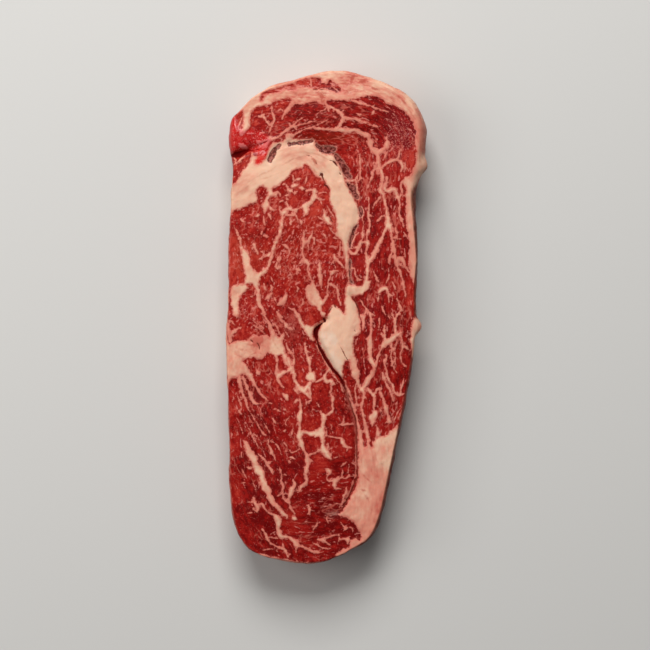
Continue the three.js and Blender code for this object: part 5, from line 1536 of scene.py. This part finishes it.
def surface_fields(points, depth):
    """All that the material needs to know at each vertex, as named arrays of three values."""
    below = (THICKNESS - 1 - points[:, 2]).clip(0) / THICKNESS
    shift = pushed(points * DRIFT_TALL, DRIFT) + DRIFT_BELOW
    places = points[:, :2] + below[:, None] * shift
    side_fat, film, browning = round_the_outline(points)
    above_foot = 1 - smoothstep(*WALL_ENDS, depth)
    on_wall = smoothstep(*WALL_BEGINS, depth) * above_foot
    ragged = pushed(points, VEIN_ROUGHNESS)
    region = fat_region(points, places, side_fat, on_wall)
    crack = path_field(places + CRACK_RAGGED * ragged, CREVICES)
    crack[:, 2] -= CRACK_FADE * depth
    grey = path_field(places + SPOT_RAGGED * ragged, GREY_SPOTS)
    in_grey = grey[:, 2] * (1 + layered(places, SPOT_SWELLING)) - grey[:, 0]
    flesh = from_stations(places, flesh_columns(3, 4))
    fat_tone = from_stations(places, FAT_TONE)[:, 0]
    # Pale skin spots on the cut face join the film; the first two are a painted highlight.
    film = on_wall * film + bells(points, PALE_SKIN_AND_GLINT)
    browning = smoothstep(*BROWNING_AND_SHADE_BEGINS, depth) * above_foot * browning
    wet = border_field(places, WET_BORDERS) - WET_FADE * below
    gloss = (1 - on_wall) * bells(points, GLOSS)
    return {
        "vein": vein_field(points, places, ragged, on_wall),
        "fleck": fleck_field(places),
        "body": np.stack([region, fat_tone, film], 1),
        "flesh": np.stack([*flesh.T, bells(points, HUE)], 1),
        "marks": np.stack([in_grey, on_wall, browning], 1),
        "crack": crack,
        "shine": np.stack([wet, gloss, bells(points, THIN_BLOOD)], 1),
        "trace": path_field(places + SPOT_RAGGED * ragged, TRACES),
        "fibre": np.c_[fibre_coordinates(places), points[:, 2]],
    }


fields = surface_fields(vertices, depth)
print("fields:", {name: values.shape for name, values in fields.items()})

# %% Fine relief
PROUD = 0.22  # mm that fat stands above the lean beside it
LEAN_SWELLING = [(2.6, 31, 0.16), (1.4, 32, 0.1), (9, 33, 0.2)]
WET_RIPPLES = [(1.5, 34, 0.22)]
CRACK_DEPTH = 0.6
SPOT_DEPTH = 0.35
WALL_SWELLING = [(5, 41, 0.35)]
SMALL_WALL_SWELLING = [(2.2, 42, 0.15)]
GROUND_REACH = 2.5  # mm above the ground over which the relief sets in


def fine_relief(points, fields):
    """Height added to the cut face: fat stands a little proud, the lean swells in bundles between
    the veins, and crevices cut in."""
    vein, crack, shine = fields["vein"], fields["crack"], fields["shine"]
    fat = np.maximum(fields["body"][:, 0], vein[:, 2] - vein[:, 0])
    slick = np.maximum(smoothstep(-1, 1, shine[:, 0]), 0.6 * shine[:, 1])
    raised = PROUD * smoothstep(-0.4, 0.8, fat) + layered(points, LEAN_SWELLING)
    raised = raised + slick * layered(points, WET_RIPPLES)
    cut = CRACK_DEPTH * smoothstep(-0.5, 0.5, crack[:, 2] - crack[:, 0])
    return raised - cut - SPOT_DEPTH * smoothstep(-0.5, 0.5, fields["marks"][:, 0])


def outward(points, faces):
    """Unit normals at the vertices: the sum of the faces' area vectors round each one. An area
    vector is the cross product of two diagonals; a triangle's fourth corner is its first again."""
    total = np.zeros_like(points)
    for face in faces:
        corners = points[face]
        fourth = corners[:, 3 % face.shape[1]]
        area = np.cross(corners[:, 2] - corners[:, 0], fourth - corners[:, 1])
        for k in range(face.shape[1]):
            np.add.at(total, face[:, k], area)
    return total / np.linalg.norm(total, axis=1)[:, None]


normals = outward(vertices, [quads, triangles])
open_face = 1 - smoothstep(*FACE_ENDS, depth)
wall_relief = layered(vertices * (1, 1, 0.6), WALL_SWELLING)
wall_relief = wall_relief + layered(vertices, SMALL_WALL_SWELLING)
relief = fine_relief(vertices, fields) * open_face + wall_relief * (1 - open_face)
relief = relief * smoothstep(0.0, GROUND_REACH, vertices[:, 2])
shaped = vertices + normals * relief[:, None]
shaped[:, 2] = np.maximum(shaped[:, 2], 0)
print("relief, mm:", round(float(relief.min()), 2), "to", round(float(relief.max()), 2))

# %% [markdown]
# ## The mesh
#
# The arrays become one mesh, in metres, and each field becomes an attribute of its vertices.

# %% Mesh and attributes
def build_mesh(name, points, faces, attributes):
    """A smooth mesh object with three-value attributes on its vertices."""
    mesh = bpy.data.meshes.new(name)
    mesh.from_pydata((points * MM).tolist(), [], faces)
    mesh.polygons.foreach_set("use_smooth", np.ones(len(faces), bool))
    for label, values in attributes.items():
        layer = mesh.attributes.new(label, "FLOAT_VECTOR", "POINT")
        layer.data.foreach_set("vector", np.ascontiguousarray(values, np.float32).ravel())
    mesh.update()
    return in_scene(name, mesh)


steak = build_mesh("marbled_steak", shaped, quads.tolist() + triangles.tolist(), fields)
print("faces:", len(steak.data.polygons))

# %% [markdown]
# ## Raw meat
#
# Lean beef is a deep red that scatters light under its surface, under a thin film of moisture that
# gives it soft glints. Fat is paler, creamy where it is thick and pink where it is thin enough for
# the red to show through. The material rebuilds the depth inside a vein from the stored distances,
# lets noise wander its edge, and blends the colours by that depth.

# %% Colours, as display values from 0 to 255
# Painted light among these: the crack colours are painted shade, the crust colours partly painted
# shade, and the wet glint, some fleck uses and one silver film spot are painted highlights.
COLOURS = {
    "dark lean": (106, 2, 2), "red lean": (150, 19, 13), "bright lean": (186, 56, 42),
    "lean beside fat": (112, 26, 18), "crimson lean": (138, 2, 18), "tan lean": (148, 38, 16),
    "rose fat": (198, 100, 84), "pink fat": (214, 136, 114), "cream fat": (230, 182, 153),
    "white fat": (228, 192, 168), "thin fat": (208, 112, 96), "web": (204, 98, 82),
    "fleck": (222, 132, 118), "trace in pink": (180, 78, 62), "trace in cream": (184, 106, 82),
    "silver film and glint": (205, 138, 122), "dark crust and shade": (84, 28, 14), "light crust and shade": (112, 56, 34),
    "blood": (196, 12, 16), "thin blood": (208, 30, 24), "blood on fat": (214, 100, 98),
    "painted wet glint": (240, 136, 126), "halo": (224, 168, 146), "plum": (84, 6, 3),
    "pale plum": (160, 84, 74), "plum edge": (70, 4, 0), "fine crack shade": (114, 44, 30),
    "deep crack shade": (84, 0, 0), "wet crack shade": (136, 0, 4), "pale floor": (206, 204, 200),
}


def linear(colour):
    """A display colour as linear light, by the sRGB curve."""
    parts = [v / 255 for v in colour]
    return tuple(v / 12.92 if v <= 0.04045 else ((v + 0.055) / 1.055) ** 2.4 for v in parts) + (1,)


# %% Node helpers
class Wiring:
    """Adds nodes to a material and links them; a value can be a number, a colour's name or a
    socket."""

    def __init__(self, material):
        material.use_nodes = True
        self.tree = material.node_tree
        self.tree.nodes.clear()

    def node(self, kind, **settings):
        made = self.tree.nodes.new("ShaderNode" + kind)
        for key, value in settings.items():
            setattr(made, key, value)
        return made

    def plug(self, socket, value):
        if isinstance(value, bpy.types.NodeSocket):
            self.tree.links.new(value, socket)
        else:
            socket.default_value = linear(COLOURS[value]) if isinstance(value, str) else value

    def wired(self, kind, values, **settings):
        """A node whose inputs, named or numbered, get the values."""
        made = self.node(kind, **settings)
        for key, value in values.items():
            self.plug(made.inputs[key], value)
        return made

    def math(self, operation, *values, clamp=False):
        values = dict(enumerate(values))
        return self.wired("Math", values, operation=operation, use_clamp=clamp).outputs[0]

    def times(self, a, b, clamp=False):
        return self.math("MULTIPLY", a, b, clamp=clamp)

    def line(self, value, slope, start, clamp=False):
        """The value times the slope, plus the start."""
        return self.math("MULTIPLY_ADD", value, slope, start, clamp=clamp)

    def add(self, noise, amount, to):
        """Adds the noise, centred on zero and scaled by the amount, to the other value."""
        return self.line(self.math("SUBTRACT", noise, 0.5), amount, to)

    def vector(self, operation, *values):
        return self.wired("VectorMath", dict(enumerate(values)), operation=operation).outputs[0]

    def ramp(self, value, low, high):
        """0 below low, 1 above high, smooth between."""
        values = {"Value": value, "From Min": low, "From Max": high}
        return self.wired("MapRange", values, interpolation_type="SMOOTHSTEP").outputs[0]

    def blend(self, factor, a, b):
        """From the number a to the number b."""
        return self.wired("Mix", {0: factor, 2: a, 3: b}, data_type="FLOAT").outputs[0]

    def mix(self, factor, a, b):
        """From the colour a to the colour b."""
        values = {"Factor": factor, "A": a, "B": b}
        return self.wired("Mix", values, data_type="RGBA").outputs["Result"]

    def noise(self, vector, scale, detail=2.0, roughness=0.5, output="Fac"):
        values = {"Vector": vector, "Scale": scale, "Detail": detail, "Roughness": roughness}
        return self.wired("TexNoise", values).outputs[output]

    def attribute(self, name):
        return self.node("Attribute", attribute_name=name).outputs["Vector"]

    def values(self, vector):
        """The three values of a vector."""
        return self.wired("SeparateXYZ", {0: vector}).outputs

    def surface(self, **inputs):
        """The material's surface, from the inputs of its shader, with _ for each space."""
        values = {name.replace("_", " "): value for name, value in inputs.items()}
        shader = self.wired("BsdfPrincipled", values)
        self.wired("OutputMaterial", {"Surface": shader.outputs[0]})


# %% Fields and patterns of the meat
PER_MM = 1 / MM  # texture scale of one pattern cell per millimetre
WALL_STRETCH = 4  # on the wall the grain runs upright, this many times longer than wide


def beef_patterns(w):
    """What the layers of the meat share: the stored fields, and noises of several sizes. The finer
    ones run with the fibres on the cut face and upright on the wall."""
    m = SimpleNamespace()
    m.grey, m.on_wall, m.browning = w.values(w.attribute("marks"))
    m.region, m.fat_tone, m.film = w.values(w.attribute("body"))
    m.density, m.tone, m.hue = w.values(w.attribute("flesh"))
    m.wet, m.gloss, m.thin_blood = w.values(w.attribute("shine"))
    place = w.node("TexCoord").outputs["Object"]
    m.north = w.values(place)[1]
    m.on_face = w.math("SUBTRACT", 1.0, m.on_wall)
    m.fibre = w.attribute("fibre")
    upright = w.vector("MULTIPLY", place, (PER_MM, PER_MM, PER_MM / WALL_STRETCH))
    m.broad = w.noise(place, 0.12 * PER_MM, 3)
    m.crumb = w.noise(place, 2.0 * PER_MM, 2, 0.6)
    m.grit = w.noise(place, 5.0 * PER_MM, 2, 0.6)
    m.wander = w.blend(m.on_wall, w.noise(place, 0.7 * PER_MM), w.noise(upright, 0.7))
    m.clump = w.blend(m.on_wall, w.noise(m.fibre, 0.45, 2, 0.6), w.noise(upright, 0.3, 2, 0.6))
    m.strand = w.blend(m.on_wall, w.noise(m.fibre, 0.95, 2, 0.55), w.noise(upright, 0.9, 2, 0.55))
    return m


def inside(w, m, name, wide, fine, cell):
    """Depth inside the nearest vein or fleck: its half width less the distance to its middle, with
    the edge moved by noise. The cell is what the distance may be off between the grid's points."""
    gap, side, half = w.values(w.attribute(name))
    away = w.math("MAXIMUM", w.math("ABSOLUTE", side), w.math("SUBTRACT", gap, cell))
    return w.add(m.crumb, fine, w.add(m.wander, wide, w.math("SUBTRACT", half, away)))


# %% Lean meat
def web_cells(w, m):
    """Distance to the edges of cells that are long with the fibres and bent by noise: the bundles
    of fibres, with thin fat between them."""
    bent = w.noise(m.fibre, 0.7, output="Color")
    bent = w.vector("MULTIPLY_ADD", bent, (2.2, 2.2, 0), m.fibre)
    settings = {"feature": "DISTANCE_TO_EDGE", "voronoi_dimensions": "2D"}
    return w.wired("TexVoronoi", {"Vector": bent, "Scale": 0.5}, **settings).outputs["Distance"]


def lean_colour(w, m):
    """Dark to bright red by the stored tone and the noises, more stringy in some muscles, browner
    beside fat, and shifted to crimson or tan by the stored hue."""
    stringy = w.blend(w.ramp(m.north, -50 * MM, -30 * MM), 0.7, 1.2)
    stringy = w.math("ADD", stringy, w.ramp(m.north, 55 * MM, 80 * MM))
    tone = w.add(m.clump, 1.6, w.add(m.broad, 0.6, m.tone))
    tone = w.add(m.crumb, 0.5, w.add(m.strand, stringy, tone))
    tone = w.math("SUBTRACT", w.line(m.bundle, 0.5, tone), 0.1)
    lean = w.mix(w.ramp(tone, -0.1, 0.5), "dark lean", "red lean")
    lean = w.mix(w.ramp(tone, 0.45, 1.1), lean, "bright lean")
    lean = w.mix(w.times(w.ramp(m.thick, -1.1, -0.25), 0.25), lean, "lean beside fat")
    lean = w.mix(w.times(w.ramp(m.hue, 0, 1), 0.4), lean, "crimson lean")
    return w.mix(w.times(w.ramp(m.hue, 0, -1), 0.4), lean, "tan lean")


# %% Fat
def fat_colour(w, m):
    """Rose, pink, cream and white by the stored tone and the noises, streaky in the end muscle,
    with thin red traces, and darker where it is thin."""
    streaky = w.blend(w.ramp(m.north, 82 * MM, 95 * MM), 0.55, 2.0)
    streaky = w.times(w.math("SUBTRACT", 1.25, m.fat_tone), streaky)
    tone = w.add(m.clump, 0.9, w.add(m.strand, streaky, w.add(m.broad, 1.5, m.fat_tone)))
    full = w.mix(w.ramp(tone, -0.45, 0.1), "rose fat", "pink fat")
    full = w.mix(w.ramp(tone, 0.05, 0.95), full, "cream fat")
    full = w.mix(w.ramp(tone, 1.0, 1.5), full, "white fat")
    trace = w.ramp(inside(w, m, "trace", 0.5, 0.5, 0.25), -0.45, 0.35)
    strength = w.times(w.values(w.attribute("trace"))[2], 1.8, clamp=True)
    trace = w.times(w.times(trace, w.ramp(m.wander, 0.2, 0.6)), strength)
    trace_colour = w.mix(w.ramp(m.fat_tone, 0.4, 0.8), "trace in pink", "trace in cream")
    full = w.mix(w.times(trace, 0.85), full, trace_colour)
    return w.mix(w.ramp(w.math("MAXIMUM", m.thick, m.fleck), 0.0, 1.2), "thin fat", full)


# %% Marbled meat
def marbled(w, m):
    """Lean meat, then the web and the flecks over it, some flecks being painted highlights, then
    fat where veins and broad fat are.
    """
    width = w.add(w.noise(m.fibre, 0.28, 1), 0.9, w.line(m.density, 0.22, -0.13))
    web = w.times(w.ramp(w.math("SUBTRACT", width, m.bundle), -0.12, 0.1), m.on_face)
    dots = w.ramp(w.line(m.density, 0.08, m.strand), 0.68, 0.76)
    # Painted highlights: pale specks where the hue is crimson, in the fleck colour.
    painted_glints = w.ramp(w.line(w.ramp(m.hue, 0, 1), 0.1, m.crumb), 0.65, 0.72)
    flecks = w.math("MAXIMUM", w.times(w.ramp(m.fleck, -0.2, 0.2), m.on_face), dots)
    flecks = w.math("MAXIMUM", flecks, w.times(painted_glints, 0.8))
    colour = w.mix(w.times(web, 0.6), lean_colour(w, m), "web")
    colour = w.mix(w.times(flecks, 0.66), colour, "fleck")
    return w.mix(m.fat, colour, fat_colour(w, m))


# %% Film, browning with painted shade, blood and painted highlights
def outer_layers(w, m, colour):
    """Film in silver patches, one spot a painted highlight; a dry brown crust on the wall, partly
    painted shade; wet blood with pale painted highlights.
    """
    # One spot of the film is a painted highlight, a pale glint at the wet tip of the crevice.
    film = w.times(m.film, w.ramp(w.add(m.strand, 0.8, m.clump), 0.3, 0.62))
    colour = w.mix(w.times(film, 0.7), colour, "silver film and glint")
    # The crust is partly painted shade on the walls that face away from the lights.
    crust = w.mix(w.ramp(m.clump, 0.35, 0.65), "dark crust and shade", "light crust and shade")
    dried_and_shaded = w.times(m.browning, w.ramp(w.add(m.strand, 0.8, m.broad), 0.15, 0.55))
    colour = w.mix(w.times(dried_and_shaded, 0.9), colour, crust)
    over_fat = w.times(m.fat, w.line(m.thin_blood, -2.0, 1.0, clamp=True))
    blood = w.mix(over_fat, w.mix(m.thin_blood, "blood", "thin blood"), "blood on fat")
    glaze = w.ramp(w.add(m.crumb, 1.4, m.strand), 0.75, 0.4)
    glaze = w.line(glaze, 0.3, w.line(m.fat, 0.35, 0.45))
    colour = w.mix(w.times(glaze, m.wet_here, clamp=True), colour, blood)
    # Painted highlights: pale glints painted on the wet meat, stronger on the cut face.
    painted_sparks = w.times(m.wet_here, w.ramp(w.add(m.grit, 0.5, m.crumb), 0.57, 0.7))
    return w.mix(w.times(painted_sparks, w.line(m.on_face, 0.6, 0.15)), colour, "painted wet glint")


# %% Torn spots, and cracks with painted shade
def torn_places(w, m, colour):
    """Plum spots with a pale halo where membrane tore, and cracks darkened as painted shade,
    redder where wet.
    """
    spot = w.add(m.crumb, 1.0, w.add(m.wander, 1.0, m.grey))
    colour = w.mix(w.times(w.ramp(spot, -0.9, -0.3), 0.3), colour, "halo")
    plum = w.mix(w.ramp(w.add(m.crumb, 0.7, m.wander), 0.42, 0.62), "plum", "pale plum")
    plum = w.mix(w.ramp(spot, 0.4, 0.1), plum, "plum edge")
    colour = w.mix(w.times(w.ramp(spot, -0.1, 0.1), 0.95), colour, plum)
    half = w.values(w.attribute("crack"))[2]
    # Painted shade: the cracks and the notch under the lobe are darkened as if shaded, most where
    # wide.
    deep = w.mix(w.ramp(half, 0.15, 0.45), "fine crack shade", "deep crack shade")
    deep = w.mix(w.ramp(m.wet, -3.0, 0.0), deep, "wet crack shade")
    return w.mix(w.times(m.crack, 0.95), colour, deep)


# %% Raw beef
BUMP_STRENGTH = 0.6
BUMP_DEPTH = 0.4 * MM
CRUMB_RISE, GRIT_RISE, FAT_RISE, STRAND_RISE = 0.35, 0.1, 0.3, 0.5  # shares of that depth
LEAN_ROUGH = 0.36
FAT_ROUGHER, GRIT_ROUGHER, CRACK_ROUGHER = 0.05, 0.2, 0.4  # what each adds
MOIST, WET_MORE = 0.07, 0.2  # the clear coat, and what wet blood adds to it
CLEAR_LAYER = {"Coat_Roughness": 0.12, "IOR": 1.36, "Specular_IOR_Level": 0.12}
UNDER_SURFACE = {  # how light scatters below the surface: red goes furthest
    "Subsurface_Weight": 0.06, "Subsurface_Radius": (1.0, 0.25, 0.12),
    "Subsurface_Scale": 1.0 * MM,
}


def raw_beef():
    """Marbled meat under its outer layers, with a fine bump and a clear coat where it is moist."""
    material = bpy.data.materials.new("raw_beef")
    w = Wiring(material)
    m = beef_patterns(w)
    m.bundle = web_cells(w, m)
    m.fleck = inside(w, m, "fleck", 1.2, 0.6, 0.2)
    ragged = w.add(m.crumb, 0.8, w.add(m.wander, 1.8, m.region))
    m.thick = w.math("MAXIMUM", inside(w, m, "vein", 1.3, 0.7, 0.25), ragged)
    m.fat = w.ramp(m.thick, -0.22, 0.2)
    m.crack = w.ramp(inside(w, m, "crack", 0.5, 0.6, 0.25), -0.14, 0.14)
    m.wet_here = w.ramp(w.add(m.wander, 1.4, m.wet), -1.2, 0.9)
    colour = torn_places(w, m, outer_layers(w, m, marbled(w, m)))

    height = w.line(m.grit, GRIT_RISE, w.times(m.crumb, CRUMB_RISE))
    height = w.line(m.strand, STRAND_RISE, w.line(m.fat, FAT_RISE, height))
    bump = w.wired("Bump", {"Strength": BUMP_STRENGTH, "Distance": BUMP_DEPTH, "Height": height})
    rough = w.line(m.grit, GRIT_ROUGHER, w.line(m.fat, FAT_ROUGHER, LEAN_ROUGH))
    moist = w.math("ADD", m.gloss, w.line(m.wet_here, WET_MORE, MOIST), clamp=True)
    dry = w.math("MAXIMUM", m.crack, m.browning, clamp=True)
    w.surface(
        Base_Color=colour,
        Roughness=w.line(m.crack, CRACK_ROUGHER, rough, clamp=True),
        Normal=bump.outputs[0],
        Coat_Weight=w.times(moist, w.math("SUBTRACT", 1.0, dry)),
        **CLEAR_LAYER,
        **UNDER_SURFACE,
    )
    return material


steak.data.materials.append(raw_beef())
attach(steak, "root")
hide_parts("steak")
print("material nodes:", len(steak.data.materials[0].node_tree.nodes))

# %% [markdown]
# ## Floor and light
#
# The steak lies on a plain pale floor. One broad soft light stands beyond the far end, a weaker
# one on the left, and an even pale surround fills the shadows.

# %% Floor
FLOOR_HALF = 3000  # mm


def pale_floor():
    """A plain square, pale and matt."""
    corners = np.array([(-1, -1, 0), (1, -1, 0), (1, 1, 0), (-1, 1, 0)]) * FLOOR_HALF
    floor = build_mesh("floor", corners, [(0, 1, 2, 3)], {})
    material = bpy.data.materials.new("pale_floor")
    Wiring(material).surface(Base_Color="pale floor", Roughness=0.8)
    floor.data.materials.append(material)
    return floor


pale_floor()

# %% Lights
SOFT_LIGHTS = [  # name, place in metres, size in metres, watts
    ("far_end", (-0.1, 0.9, 1.0), 0.7, 17),
    ("left_fill", (-0.9, 0.1, 0.9), 0.8, 5),
]
SURROUND = 0.15  # strength of the even light from all round


def soft_light(name, place, size, watts):
    """A square area light, turned towards the steak."""
    data = bpy.data.lights.new(name, "AREA")
    data.size = size
    data.energy = watts
    light = in_scene(name, data)
    light.location = place
    x, y, z = place
    light.rotation_euler = (math.atan2(math.hypot(x, y), z), 0, math.atan2(x, -y))
    return light


lights = [soft_light(*settings) for settings in SOFT_LIGHTS]
world = bpy.data.worlds.new("surround")
world.use_nodes = True
background = world.node_tree.nodes["Background"]
background.inputs["Color"].default_value = (1, 1, 1, 1)
background.inputs["Strength"].default_value = SURROUND
bpy.context.scene.world = world
bpy.context.scene.view_settings.view_transform = "Standard"
print("lights:", [light.name for light in lights])
